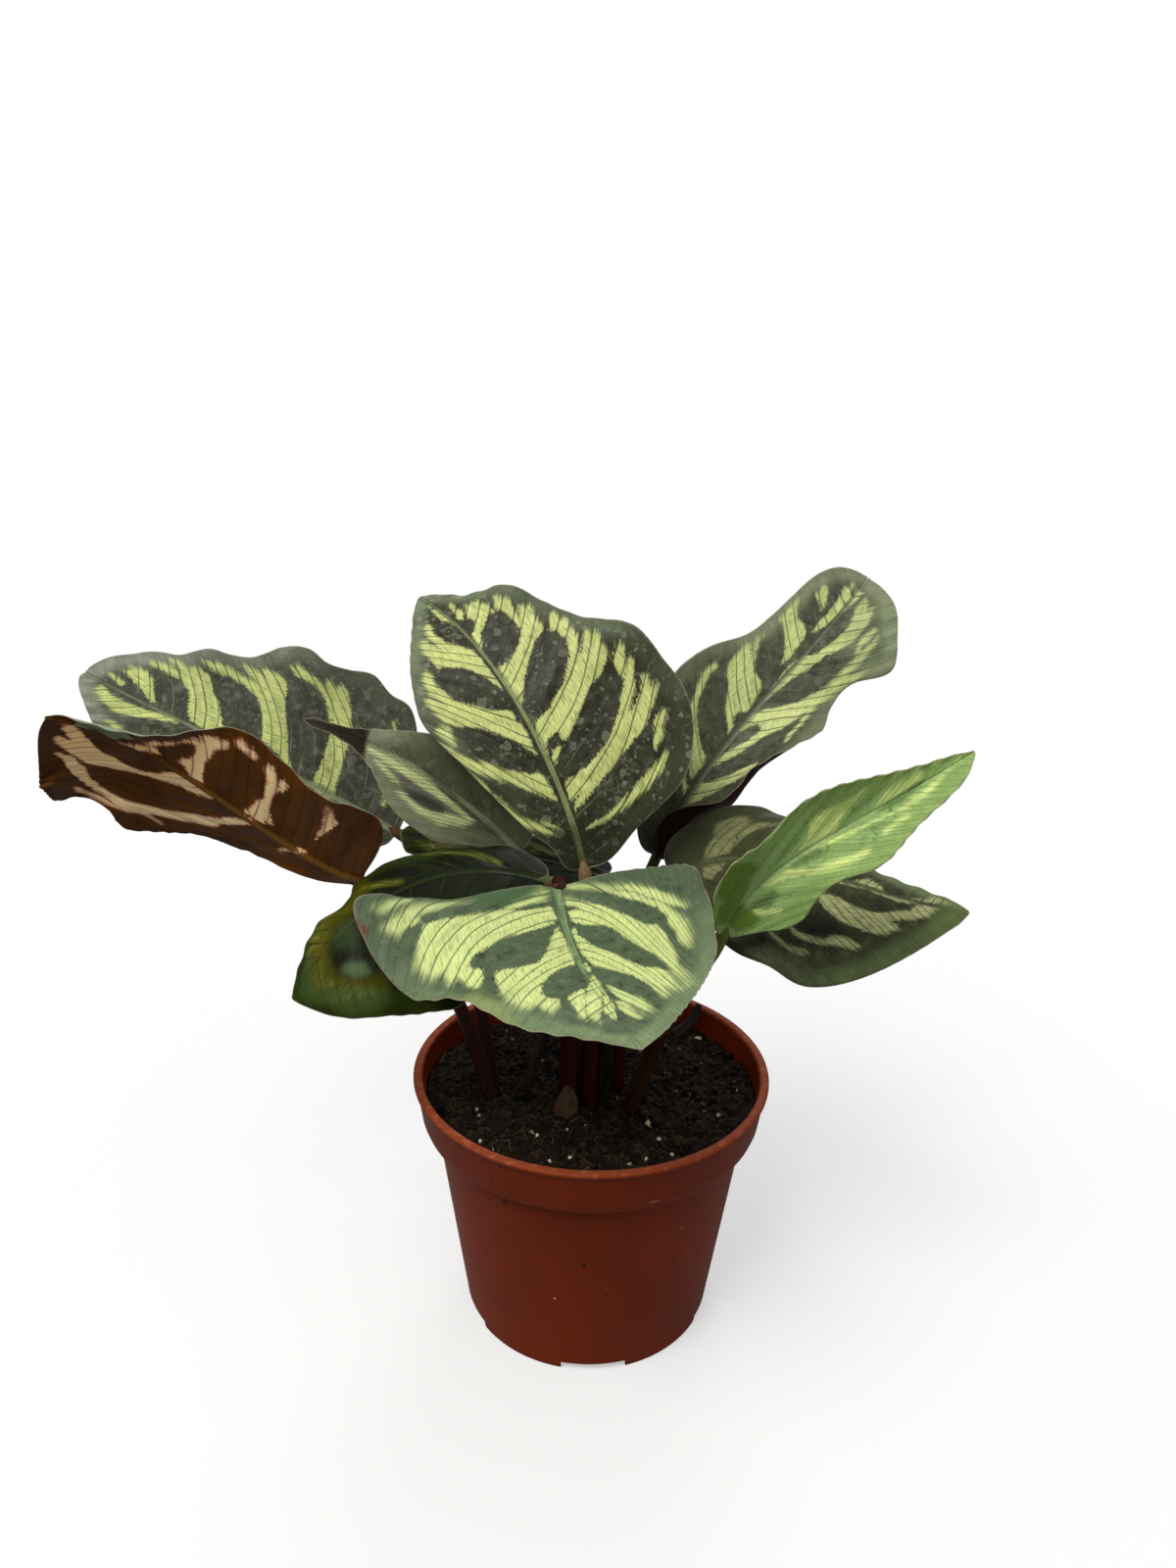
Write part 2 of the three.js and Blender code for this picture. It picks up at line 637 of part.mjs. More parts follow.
function soilGeometry() {
  const p = POT;
  const collarFoot = p.height - p.collarHeight;
  const floorTop = p.channelLift + p.floor;
  const bodyAt = (z) => p.footRadius + ((p.bodyTopRadius - p.footRadius) * z) / collarFoot;
  const wallAt = (z) => THREE.MathUtils.lerp(28.5, 29.4, (z - collarFoot - 1.4) / 6.65);
  const skirt = [
    [bodyAt(collarFoot) - p.wall - GAP - 0.1, collarFoot - 0.6],
    [bodyAt(floorTop + 0.8) - p.wall - GAP - 0.2, floorTop + 1.4],
    [bodyAt(floorTop) - p.wall - 1.4, floorTop + GAP],
    [p.channelInner - 0.8, floorTop + GAP],
    [p.padRadius - 0.9, p.floor + GAP],
  ];
  const points = [];
  const triangles = [];
  const n = SOIL.segments;
  points.push(new THREE.Vector3(0, 0, soilHeight(0, 0)));
  const rings = [];
  const ringAt = (place) => {
    rings.push(points.length);
    for (let k = 0; k < n; k += 1) {
      const angle = (2 * Math.PI * k) / n;
      points.push(place(Math.cos(angle), Math.sin(angle)));
    }
  };
  for (let i = 1; i <= SOIL.rings; i += 1) {
    ringAt((c, s) => {
      const edge = wallAt(soilHeight(28 * c, 28 * s) - 0.5) - GAP - 0.15;
      const radius = (edge * i) / SOIL.rings;
      const z = soilHeight(radius * c, radius * s) - (i === SOIL.rings ? 0.5 : 0);
      return new THREE.Vector3(radius * c, radius * s, z);
    });
  }
  for (const [radius, z] of skirt) {
    ringAt((c, s) => new THREE.Vector3(radius * c, radius * s, z));
  }
  const last = points.push(new THREE.Vector3(0, 0, p.floor + GAP)) - 1;
  for (let k = 0; k < n; k += 1) {
    const next = (k + 1) % n;
    triangles.push(0, rings[0] + k, rings[0] + next);
    for (let i = 0; i + 1 < rings.length; i += 1) {
      const a = rings[i];
      const b = rings[i + 1];
      triangles.push(a + k, b + k, b + next, a + k, b + next, a + next);
    }
    const rim = rings[rings.length - 1];
    triangles.push(last, rim + next, rim + k);
  }
  let solid = toSolid(toGeometry(points, triangles));
  for (const stalk of STALKS) {
    solid = solid.subtract(toSolid(stalkGeometry(stalk, 1.8 * GAP)));
  }
  for (const strip of [...SHEATHS, SCRAP]) {
    solid = solid.subtract(toSolid(stripGeometry(strip, 1.5 * GAP)));
  }
  return fromSolid(solid);
}

// ---------------------------------------------------------------- the part

add('pot', potGeometry(), COLOUR.pot, 0.5);
add('soil', soilGeometry(), COLOUR.soil, 1);
for (const leaf of LEAVES) add(leaf.name, bladeGeometry(leaf), leaf.colour, 0.5);
for (const stalk of STALKS) {
  add(stalk.leaf.replace('leaf', 'stalk'), stalkGeometry(stalk, 0), COLOUR.stalk, 0.5);
}
for (const strip of [...SHEATHS, SCRAP]) {
  add(strip.name, stripGeometry(strip, 0), strip.colour, 0.9);
}

export default part;
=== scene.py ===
# Looks of a young potted calathea: waved blades with their feathered pattern, petioles,
# fibrous peat and a small terracotta-coloured nursery pot.
# Lengths are millimetres until a mesh is made; Blender objects are in metres.

import math

import bmesh
import bpy
import numpy as np
from mathutils import Matrix, Vector, noise


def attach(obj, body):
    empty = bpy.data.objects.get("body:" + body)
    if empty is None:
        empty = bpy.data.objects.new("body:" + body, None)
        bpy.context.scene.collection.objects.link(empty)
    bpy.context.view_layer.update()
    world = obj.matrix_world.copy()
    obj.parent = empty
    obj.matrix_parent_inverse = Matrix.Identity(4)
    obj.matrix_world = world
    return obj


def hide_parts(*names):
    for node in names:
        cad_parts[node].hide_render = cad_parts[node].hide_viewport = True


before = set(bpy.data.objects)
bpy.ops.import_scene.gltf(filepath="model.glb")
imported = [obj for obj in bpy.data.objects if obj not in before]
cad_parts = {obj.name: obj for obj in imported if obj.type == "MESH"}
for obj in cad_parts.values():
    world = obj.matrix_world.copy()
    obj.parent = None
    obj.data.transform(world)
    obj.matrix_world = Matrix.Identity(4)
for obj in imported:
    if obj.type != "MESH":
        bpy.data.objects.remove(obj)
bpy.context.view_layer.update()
MM = 0.001
ROOT = "root"

# ---------------------------------------------------------------- driving sizes

POT = dict(
    height=46, rim=31, lip=1.2, overhang=0.35,
    collar=8.4, collar_foot=29.5, ridge=1.3, ridge_depth=0.25,
    body_top=27.3, foot=22, wall=1.0, floor=1.2,
    pad=13, channel_in=14.2, channel_out=20.2, channel_lift=1.8,
    drain_radius=2, drain_circle=17.2, drains=8,
    notch_width=11, notch_height=1.4, notches=5, notch_turn=-86,
)
COLLAR_FOOT_Z = POT["height"] - POT["collar"]
# The body colours are darker than the plastic itself, painting the shade the pot stands in.
# The lip colour is a painted highlight along the pot's top edge.
POT_COLOURS = dict(light="#6A2206", deep="#5E2008", lip="#8E4224")
# Chips, specks and scratches: azimuth in degrees, height, half-width, half-height and colour.
POT_MARKS = [
    (-119.7, 34.9, 0.75, 0.4, "#1E0A04"), (-90.9, 24.8, 0.34, 0.4, "#2A0E06"),
    (-94.8, 24.2, 0.2, 0.24, "#2A0E06"), (-86.9, 22.6, 0.24, 0.26, "#2A0E06"),
    (-95.6, 19, 0.16, 0.18, "#2A0E06"), (-55.3, 22, 0.36, 0.16, "#2A0E06"),
    (-126.3, 26, 0.18, 0.2, "#2A0E06"), (-134.1, 20.4, 0.2, 0.22, "#2A0E06"),
    (-130.5, 37.8, 0.24, 0.26, "#2A0E06"), (-53.8, 28.8, 0.14, 0.3, "#A86A4C"),
    (-47.5, 21.4, 0.12, 0.4, "#A86A4C"), (-82.6, 19.2, 0.1, 0.45, "#8A4A30"),
    (-102.2, 16.5, 0.2, 0.18, "#E0D0C0"), (-70, 39.2, 1.1, 0.16, "#9A5C44"),
    (-120, 41, 0.3, 0.5, "#3A140A"), (-117, 44.4, 0.4, 0.2, "#241008"),
]
SOIL = dict(
    level=42.6, fall=1.6, lumps=0.55,
    wall=28.5, wall_lift=1.4, wall_slope=0.9 / 6.65, gap=0.2,   # the pot's inside beside it
    body=[(25.9, 37), (21.2, 4.4), (20.4, 3.3), (13.4, 3.3), (12.1, 1.5)],
)
CRUMBS = 3200
FIBRES = 760
PALE_FIBRES = 90
SMALL_GRAINS = 34

BLADE_THICKNESS = 0.34
RIM_THICKNESS = 0.13
END_HALF_WIDTH = 0.8
MIDRIB = (0.85, 0.28)           # half-width of the midrib at the stalk and at the tip
MIDRIB_DEPTH = (0.75, 0.25)     # how far it stands proud underneath
PLEAT_SPACING = 2.3             # small pleats between the side veins
SWELL_SPACING = 7.5             # broader swellings of the blade
RIPPLE_SPACING = 5.2            # ripples of its edge

# ---------------------------------------------------------------- the leaves
#
# rib:   four Bezier points of the midrib, from the stalk to the tip
# face:  the way the upper side looks, at the stalk and at the tip
# ends:  how blunt the blade is at the stalk and at the tip
# half, lift, rise, curl, back, fwd: the two halves of the blade, as in the solids; rise and
#        curl, in degrees, are the usual ones where they are not given
# veins: how far forward a side vein runs for each millimetre out from the midrib, and what
#        is added with the distance squared, near the stalk and near the tip

USUAL_BEND = [5, 5, 5]

LEAVES = {
    "leaf_centre": dict(
        rib=[(-2, 0, 83), (-5, 0.5, 98), (-16.5, 8.5, 119), (-32, 24, 123.5)],
        face=[(0.15, -0.95, 0.3), (0.1, -0.8, 0.6)], ends=(0.5, 0.7),
        left=dict(
            half=[7, 6, 8.5, 10, 11.5, 13, 15, 17, 17.5, 17.5, 16, 13],
            lift=[0, 0, 0, 0, -0.5, 0, 0], rise=[15, 8, 5], curl=[-10, -15, -10],
            veins=[(0.8, 0.085), (0.8, 0.03)],
        ),
        right=dict(
            half=[11, 14.5, 22.5, 25, 25.5, 24.5, 23.5, 19.5, 18, 17.5, 13, 8.5],
            lift=[-0.5, -1, 1, 0, 0, 0, 1.5, -1, -1, 1, -3, -1.5],
            rise=[15, 8, 5], curl=[10, 15, 10],
            veins=[(0.38, 0.0146), (0.73, 0.003)],
        ),
    ),
    "leaf_front": dict(
        rib=[(-5.5, -9, 83.5), (-2, -22, 78.5), (-0.5, -34.5, 81.5), (6, -52, 80.5)],
        face=[(0, 0.1, 1), (0, -0.25, 1)], ends=(0.4, 0.7),
        left=dict(
            half=[20, 23.5, 21.5, 20, 19.5, 20.5, 20.5, 20],
            lift=[-1, 2.5, 0.5, 0.5, 0, 0, -0.5, 0],
            rise=[15, 10, 5], back=2, veins=[(0.1, 0.08), (1.9, 0.14)],
        ),
        right=dict(
            half=[14, 23, 32.5, 31, 27, 24, 22, 17], lift=[-2, 1.5, 6.5, 2.5, -2, 1.5, 0.5, 4],
            rise=[10, 8, 5], curl=[-5, -10, -10], back=2, veins=[(0.24, 0.013), (0.8, 0.02)],
        ),
    ),
    "leaf_left_back": dict(
        rib=[(-37.5, 24, 79.5), (-56, 20.5, 93), (-70.5, 14.5, 101), (-88, 14, 111)],
        face=[(0.1, -0.8, 0.5), (0, -0.75, 0.65)], ends=(0.5, 0.5),
        left=dict(
            half=[9, 10, 10, 10, 11, 12, 12, 5], lift=[0, 0, 0.5, -0.5, 0, -1, -2, -1],
            curl=[-5, -5, -5], fwd=5, veins=[(0.68, 0.062), (1.35, 0.075)],
        ),
        right=dict(
            half=[21, 25.4, 27.2, 24.8, 25, 22.5, 21, 21.8, 20.7, 17.2, 16.4, 16.7, 14.4, 15,
                  13.7, 13.4],
            lift=[0, 0.5, -1, 1, -0.5, 0.5, -0.5, 0], veins=[(0.02, 0.024), (0.35, 0.04)],
        ),
    ),
    "leaf_left_turned": dict(
        rib=[(-40.5, 4, 78), (-58, 0, 87.5), (-68, -4, 106), (-84.5, -8, 109)],
        face=[(0.2, 0.9, 0.35), (0, 0.75, 0.65)], ends=(0.5, 0.5),
        left=dict(
            half=[25, 19.5, 14.5, 14, 14, 8, 4, 3], lift=[0, -0.5, -1, 0.5, 1, -2.5, -2.5, -1],
            back=3, veins=[(0.2, 0.003), (0.6, 0.018)],
        ),
        right=dict(
            half=[4.5, 6.4, 6, 9.1, 12.8, 13.6, 18.6, 22.7, 21.4, 27.7, 36.6, 35.7, 46.2, 32.4],
            lift=[0.5, -2, 1, -1, -3.5, -2, -6.5, -3], fwd=11,
            veins=[(0.35, 0.2), (0.87, 0.013)],
        ),
    ),
    "leaf_small": dict(
        rib=[(-13.5, 11, 81), (-22.5, 9.5, 92), (-35.5, 5.5, 102.5), (-49, 7, 105.5)],
        face=[(0.1, -0.8, 0.5), (0, -0.75, 0.65)], ends=(0.5, 0.7),
        left=dict(
            half=[3.5, 5, 8.5, 9, 8, 4, 1.5, 1], lift=[0, 0, 0, 0, -0.5, 0.5, 0, 0],
            veins=[(2.2, 0.04), (2.2, 0.04)],
        ),
        right=dict(
            half=[9.5, 9.5, 9, 8.5, 6.5, 4, 1.2, 1], lift=[0, 0, 0, 0, 0, -0.5, 0, 0],
            veins=[(2.2, 0.04), (2.2, 0.04)],
        ),
    ),
    "leaf_right_back": dict(
        rib=[(11.5, 25.5, 75.5), (19.5, 25.5, 97.5), (37, 33, 110), (49.5, 39.5, 126.5)],
        face=[(0.3, -0.8, 0.5), (0.2, -0.75, 0.65)], ends=(0.5, 0.55),
        left=dict(
            half=[10, 10.5, 11.6, 13.4, 15.8, 15.9, 14.5, 11.6, 11.6, 13.2, 16.3, 20.1],
            lift=[0, 0, 0.5, 1, 0, 0, 0, 0], fwd=2, veins=[(0.75, 0.034), (0.5, 0.02)],
        ),
        right=dict(
            half=[20, 19.7, 18.8, 16.8, 15.1, 14.3, 13, 11.3, 12.9, 21.4, 22, 25.9],
            lift=[0, 0, 0, 0, 0.5, 0.5, -1, -1, 0],
            rise=[15, 10, 10, 5, 5, 5, 5, 5],
            curl=[225, 215, 130, 115, 70, -10, -5, 5, 5], fwd=3,
            veins=[(0.85, 0.008), (1, 0.03)],
        ),
    ),
    "leaf_young": dict(
        rib=[(20.5, -11, 77), (26.5, -13, 91.5), (34.5, -18, 95.5), (51, -26, 112)],
        face=[(0.2, -0.8, 0.5), (0.2, -0.75, 0.65)], ends=(0.5, 0.7),
        left=dict(
            half=[5.5, 10, 10, 7.5, 9, 9, 6.5, 3], lift=[0, 0, 0, -1, -1, 0.5, 0, 0],
            rise=[30, 30, 20], curl=[40, 40, 20], veins=[(2.6, 0.02), (2.6, 0.02)],
        ),
        right=dict(
            half=[4.5, 8, 8.5, 7, 7, 9.5, 8.5, 11], lift=[0, 0.5, 0, 0, 1, 0.5, 0.5, 0],
            rise=[10, 10, 10], veins=[(1.3, 0.18), (1.3, 0.18)],
        ),
    ),
    "leaf_right_low": dict(
        rib=[(13.5, 4, 79.5), (23.5, 3, 90.5), (45.5, -2, 79), (61.5, -3, 78)],
        face=[(0, -0.5, 1), (0.2, -0.4, 1)], ends=(0.5, 0.7),
        left=dict(
            half=[15.5, 14.3, 14.2, 13, 10, 7.5, 7, 7], lift=[1, 0.5, 1.5, 0, -0.5, -1, -0.5, 0],
            curl=[-20, -20, -10], back=3, veins=[(0.45, 0.024), (0.45, 0.024)],
        ),
        right=dict(
            half=[18, 18, 17.5, 18.5, 20.5, 20, 15.5, 8.5],
            lift=[0, 1, 0, 0.5, -1, -0.5, -0.5, 0.5],
            rise=[-5, -5, -5], curl=[-30, -30, -20], veins=[(0.95, 0.04), (0.95, 0.04)],
        ),
    ),
    "leaf_left_low": dict(
        rib=[(-8, -3.4, 82), (-23, -2.5, 86.5), (-36.5, -17.5, 86), (-45.5, -22, 69.5)],
        face=[(0, -0.4, 1), (-0.4, -0.45, 0.8)], ends=(0.5, 0.7),
        left=dict(
            half=[16.5, 17.2, 18.3, 19.6, 21.2, 23, 25, 25.2, 27.9, 40.9],
            lift=[0, 0, 0, -0.5, -1.5, -4, -7, -6],
            rise=[0, 0, 0], curl=[-20, -20, -20], veins=[(0.65, 0.015), (0.65, 0.015)],
        ),
        right=dict(
            half=[9, 9, 9, 8.6, 9.3, 8.2, 9.3, 9.8, 10.5, 8.1, 10.4, 10, 8.5, 7.1],
            lift=[0, 0, -1.5, 0, -0.5, -1, 0.5, 0],
            rise=[0, 0, 0], curl=[-10, -20, -20], veins=[(0.65, 0.015), (0.65, 0.015)],
        ),
    ),
    "leaf_hidden": dict(
        rib=[(1.5, 9, 78), (-8, 20.5, 77), (-26, 19.5, 79), (-35.5, 17.5, 82)],
        face=[(0, -0.4, 0.9), (0, -0.5, 0.85)], ends=(0.5, 0.7),
        left=dict(
            half=[7, 6.3, 4.6, 3.2, 3, 3, 2, 4.9, 8.4, 20], lift=[0, 0, 0, 0, 0.5, 1, -1, 0],
            rise=[0, 0, 0], curl=[0, 0, 0], veins=[(2.5, 0.2), (2.5, 0.2)],
        ),
        right=dict(
            half=[6, 5.5, 5.5, 5, 4.5, 4, 5, 6], lift=[0, 0, 0, 0, 0, 0, 0, 0],
            rise=[0, 0, 0], curl=[0, 0, 0], veins=[(2.5, 0.2), (2.5, 0.2)],
        ),
    ),
}

# Pale windows of each blade: outlines, or lines whose third number is a half-width, in
# millimetres along the midrib and out from it, right half positive.
WINDOWS = {
    "leaf_centre": [
        [(52.7, 1.9), (51.8, 2.3), (50.4, 2), (49.9, 2.4), (48.8, 2.2), (48.2, 1.5), (48.8, 1)],
        [(50, 3.6), (49.7, 4.2), (49.2, 4.2), (49.5, 4.9), (48.9, 5.5), (48, 5.5), (47.1, 6.2),
         (45.4, 6.1), (45.5, 4.9), (43.9, 2), (40.6, 0), (45, 0.8), (44.9, 1.4), (45.3, 2.1),
         (46.1, 2.7), (46.8, 2.9), (47.9, 2.4)],
        [(47.3, 8), (45.2, 9.4), (42.1, 8.7), (40.2, 7.8), (40.6, 7.7), (43.1, 7.8), (45.5, 6.8)],
        [(43.3, 10), (43, 10.7), (42.5, 10.7), (42.7, 11.4), (42, 11.5), (40.7, 11), (37.8, 10.7),
         (37.1, 8.2), (34.3, 4.6), (32.2, 2.7), (28.7, 0.2), (29.4, -0.1), (32.6, 0), (36.8, 0.8),
         (36.6, 2.6), (37.4, 4.7), (38.8, 6.9)],
        [(38.8, 12.7), (39.2, 13), (39.2, 13.5), (38.7, 14), (37.1, 14), (37.1, 14.7),
         (36.5, 14.9), (35.4, 14.5), (33.8, 14.5), (30.7, 12.6), (31.1, 13.6), (33.7, 15.9),
         (33.3, 16.4), (32.5, 16.4), (30.7, 15.5), (32.3, 16.8), (32.4, 17.5), (31.6, 17.5),
         (30.5, 16.9), (29.1, 16.9), (28.4, 16.3), (27.2, 14.4), (26.3, 11.6), (21.1, 4.8),
         (20.8, 4), (22.6, 3.6), (22.4, 1.9), (21.8, 1.1), (19.7, 0.4), (21.5, 0), (24.6, 0.7),
         (25.6, 1.4), (26.3, 4.4), (27.5, 5.9), (28.5, 8.2), (32.1, 11.9), (34.3, 12.7),
         (36.1, 12.5), (36.9, 11.7)],
        [(20.2, 3.1), (17.6, 0.6), (19.7, 1.1), (20.1, 1.7)],
        [(28.2, 17.4), (29.6, 19.5), (28.3, 19.6), (27.3, 19.2), (24.8, 17.2), (27.3, 17)],
        [(26.6, 19.1), (27, 19.7), (26.1, 20), (24.1, 18.6), (23.4, 18.5), (20.5, 15.5),
         (20.2, 15.7), (20.5, 16.5), (22.2, 19), (23.8, 20.2), (23.9, 20.8), (23.1, 20.9),
         (21.5, 19.8), (22.3, 21.4), (22, 21.7), (21.1, 21), (17.8, 17), (14.3, 9.5), (9.7, 1.2),
         (10.5, 1.3), (12, 2.9), (11.6, 0.9), (12.1, 0.8), (12.7, 1.2), (13.9, 1), (14.7, 1.5),
         (15, 2.3), (14.8, 3.2), (15.4, 4.2), (15.8, 6.3), (17.7, 10.5), (20.9, 14)],
        [(18.5, 20.8, 0.25), (17.7, 19.6, 0.6), (17.1, 18.8, 0.5), (16, 18.6, 0.6),
         (15.1, 17.6, 0.35), (14.3, 17.2, 0.2)],
        [(6.4, 1.8), (7.2, 3.5), (7.3, 5.3), (13.2, 18), (13.4, 18.7), (12.8, 18.3), (11.9, 17),
         (11.6, 17.1), (9.4, 13), (7.8, 8.6), (6.5, 3.4)],
        [(55.4, -0.6), (47.8, 0.1), (50.7, -1.1), (52.1, -1.2)],
        [(51.8, -4.2), (52.2, -3.3), (50.8, -3.4), (49.3, -4), (47.4, -4), (45.8, -3.5),
         (41.9, -1), (33.2, -0.9), (36.9, -2.3), (40, -4.1), (42.9, -7.6), (47.4, -7.6),
         (49.1, -7.2), (49.7, -6.4), (48.9, -5.8), (44.2, -5), (49.6, -5.2)],
        [(43.7, -10.1), (43.7, -9.4), (42.4, -9), (40.5, -9.7), (35.8, -8.8), (30.8, -4.7),
         (29.5, -2.3), (28.8, -1.8), (24.8, -1.2), (20.8, -1.3), (23.6, -3.1), (29.2, -7.6),
         (31.2, -10.4), (33.1, -12), (37.8, -12.7), (38.9, -12.4), (38.8, -11.7), (35.1, -10.1),
         (36.2, -10.2), (39.3, -11.4), (42.4, -10.8)],
        [(32.7, -13.8), (33, -13.2), (31.7, -11.8), (28.6, -12.4), (28.1, -12.4), (28.9, -12.9),
         (31.8, -13.9)],
        [(30.5, -14.5), (26.9, -12.9), (23.9, -10.7), (22.3, -8.7), (20.3, -7.1), (17.8, -3.3),
         (17.7, -2.4), (16.7, -1.8), (14.3, -1.3), (12.4, -1.2), (12.8, -1.9), (22.1, -11.4),
         (23.5, -12.4), (25.1, -13)],
        [(23.1, -12.5, 0.12), (21.9, -12.2, 0.2), (20.4, -11.8, 0.3), (19.4, -11.5, 0.3),
         (18.2, -11, 0.12)],
        [(17, -10.6, 0.12), (15.3, -10, 0.25), (13.5, -9.2, 0.35), (11.9, -8.4, 0.45),
         (10.8, -7.4, 0.5), (9.6, -6.1, 0.5), (8.5, -4.9, 0.4), (7.7, -3.8, 0.2)],
        [(9.8, -5.1, 0.12), (9, -3.8, 0.22), (8.3, -2.4, 0.15)],
    ],
    "leaf_front": [
        [(4.3, 15), (6, 18), (7.8, 20.6), (10, 23.5), (12, 25.5), (15.5, 28.2), (16.3, 26.6),
         (13.5, 23.5), (12, 23.3), (10.5, 21.5), (7, 17.8), (5.2, 15.3)],
        [(8.5, 24.5), (10.5, 27), (13, 29.3), (13.2, 28.8), (11, 26.3), (9, 24.3)],
        [(0.9, 3.6), (3.2, 5.9), (4.6, 8), (5.9, 9.6), (6.9, 10), (6.1, 8), (4.8, 5.9), (3.6, 3.4),
         (1.5, 2.8)],
        [(5.6, 2.8), (6.9, 6.5), (7, 10.5), (8.6, 13.8), (10.5, 16.5), (12, 19.2), (14, 22.5),
         (16.5, 23.6), (20.5, 24.2), (22.1, 22.2), (21.5, 20.6), (23.7, 19.8), (22.5, 18.7),
         (26.2, 16.5), (24, 15.5), (21.9, 15.3), (21.3, 17.3), (19.5, 16.4), (17, 13.5),
         (14.4, 10.7), (12.8, 8), (11.2, 5.2), (9.8, 3.2), (8.6, 2.4)],
        [(23, 13.7), (22.6, 10.7), (21.3, 7.2), (18, 5.2), (14.7, 4.2), (10.8, 2.6), (17.4, 1.7),
         (21.8, 2.1), (23.7, 5.1), (25.4, 6.6), (27.5, 8), (29.8, 8.7), (31.2, 7.5), (31.7, 6.5),
         (33.6, 7.2), (34.5, 8.3), (33.6, 9.1), (32.1, 9.8), (32.9, 10.7), (32.7, 12.2),
         (31.3, 13.2), (29.5, 13.6)],
        [(25.3, 0.4), (27.4, 0), (29.8, 0.2), (33, 1.1), (38, 3.1), (36.7, 3.7), (34.3, 3.6),
         (31.9, 3)],
        [(29.5, 2.6), (36.9, 4.4), (36, 4.8), (31.9, 5.3), (29.9, 3.4)],
        [(30.3, 0), (34.5, -0.1), (37.8, 0.7), (37.3, 1.3), (36, 1.5), (34.3, 1.3)],
        [(21.5, 0.5), (22.5, 1.2), (24.5, 0.6), (23, 0.2)],
        [(0.3, -1.2), (1.1, -3.3), (2.3, -5.8), (3.6, -8), (4.5, -10.5), (6.5, -12.5),
         (9.8, -15.2), (12.8, -16.7), (14.2, -16.8), (13.4, -15.8), (11.2, -14.3), (9, -12.5),
         (7, -11), (5, -9), (3.3, -6.5), (2, -4), (1, -1.5)],
        [(1.2, -1.8), (2.3, -4.5), (4.4, -7), (6.9, -9), (9.4, -11.2), (11.5, -12.9),
         (15.2, -13.7), (17, -13.2), (19.8, -13.7), (22.3, -13.3), (25.5, -13.9), (22.3, -15.1),
         (18.6, -15.6), (15.7, -15.2), (12.8, -14.6), (10.8, -13.6), (8.5, -11.7), (6, -9.8),
         (3.8, -7.3), (2.3, -5.2)],
        [(3.2, 0), (4.8, -2.4), (6.9, -4.9), (9.4, -6.6), (11.9, -8.3), (14.8, -9.9),
         (16.5, -11.4), (19.8, -12), (22.3, -11.8), (25.7, -11.8), (29, -11), (32.3, -11.2),
         (34.8, -10.6), (31.1, -9.9), (28.2, -9.9), (25.3, -9.5), (22.8, -8.7), (20.3, -7.6),
         (17.3, -6.6), (14.4, -5.8), (12.3, -4.5), (11.1, -2.4), (9.8, -0.8), (8.6, -0.1),
         (6.5, 0.1), (6.3, -2), (5.3, -1.2), (4.6, 0.2)],
        [(10.5, 0), (12.8, -0.1), (18.4, -2.2), (20.9, -3.9), (23.8, -5), (26.1, -6.3),
         (27.8, -7.9), (30.3, -9.2), (35.3, -9.4), (35.1, -8.6), (33.7, -7.7), (35.8, -7.4),
         (35.8, -6.7), (31.2, -6.1), (27.8, -4.8), (26.3, -3.4), (22.7, -0.7), (18.4, 0.3),
         (11.9, 0.7)],
        [(28.8, -0.8), (34.7, -4.1), (37.1, -4.4), (38.3, -4.2), (37.8, -3.4), (32.4, -1.2)],
        [(33.6, -0.8), (34.5, -1.6), (38.7, -2.7), (38.7, -2), (37.3, -1.1), (35.3, -0.7)],
    ],
    "leaf_left_back": [
        [(13, -0.8), (14.2, 1.7), (14.6, 4.2), (15.3, 7.1), (16.3, 12.1), (18.2, 15.8), (20, 18.2),
         (21.5, 18.9), (22, 17.6), (23.9, 18.6), (24, 17.2), (22, 15.5), (20.5, 13.5),
         (19.6, 11.4), (18.9, 8.5), (18.4, 5), (18.2, 1.7), (17.9, 0), (16.7, -1.1)],
        [(20.2, 11.3), (21.5, 13.8), (23.5, 15.6), (26, 16.5), (29, 16.3), (30.8, 17.5),
         (29.5, 18.1), (26, 17.5), (23.5, 16.8), (21.5, 15.2), (20.3, 13)],
        [(22.5, 0.8), (24, 2.5), (24.8, 3.8), (26.1, 6.3), (27.3, 8.3), (28.6, 10.4), (29.2, 12.1),
         (30, 14.4), (31.9, 15.1), (34.4, 15.2), (34.8, 14.6), (33.6, 13.8), (37.8, 14.1),
         (38.2, 13.8), (35.3, 12.5), (33.6, 11.7), (36, 12), (39, 12.3), (41.9, 12.1),
         (44.6, 11.3), (42.5, 10.6), (39, 10.9), (36.1, 10.8), (33.6, 10), (32.3, 8.8),
         (31.3, 7.5), (30.5, 5.8), (29.4, 3.3), (26.1, 2.3)],
        [(36.3, 2.3), (37.8, 4.2), (39, 5.8), (40.7, 7.1), (42.3, 9.4), (45.3, 9.8), (45.7, 9),
         (48.6, 9.4), (49.6, 9), (47, 7.9), (45.7, 7.5), (49, 7.9), (51.9, 7.3), (52.3, 6.7),
         (49, 6.7), (46.1, 6.7), (44, 5.4), (43.2, 3.8), (42.8, 2.1), (41.5, 0.8), (38.6, 0.4)],
        [(48.2, 1), (49.4, 2.5), (50.3, 4.2), (51.9, 5.2), (54.8, 4.6), (54.4, 4.2), (55.3, 3.5),
         (52.8, 2.5), (51.1, 2.1), (49, 0.8)],
        [(54, 1.7), (57.3, 2.1), (57.3, 1.7), (54.4, 1)],
        [(43.2, -0.4), (45.7, -1.3), (48.2, -2.1), (51.1, -3.3), (53.6, -3.6), (56.1, -2.7),
         (57.5, -1.7), (57.1, -0.6), (54.4, -1.5), (51.1, -1.3), (48.2, -0.9), (44.8, 0)],
        [(49.5, -6), (51.5, -6.5), (53.7, -5.5), (52, -5.3)],
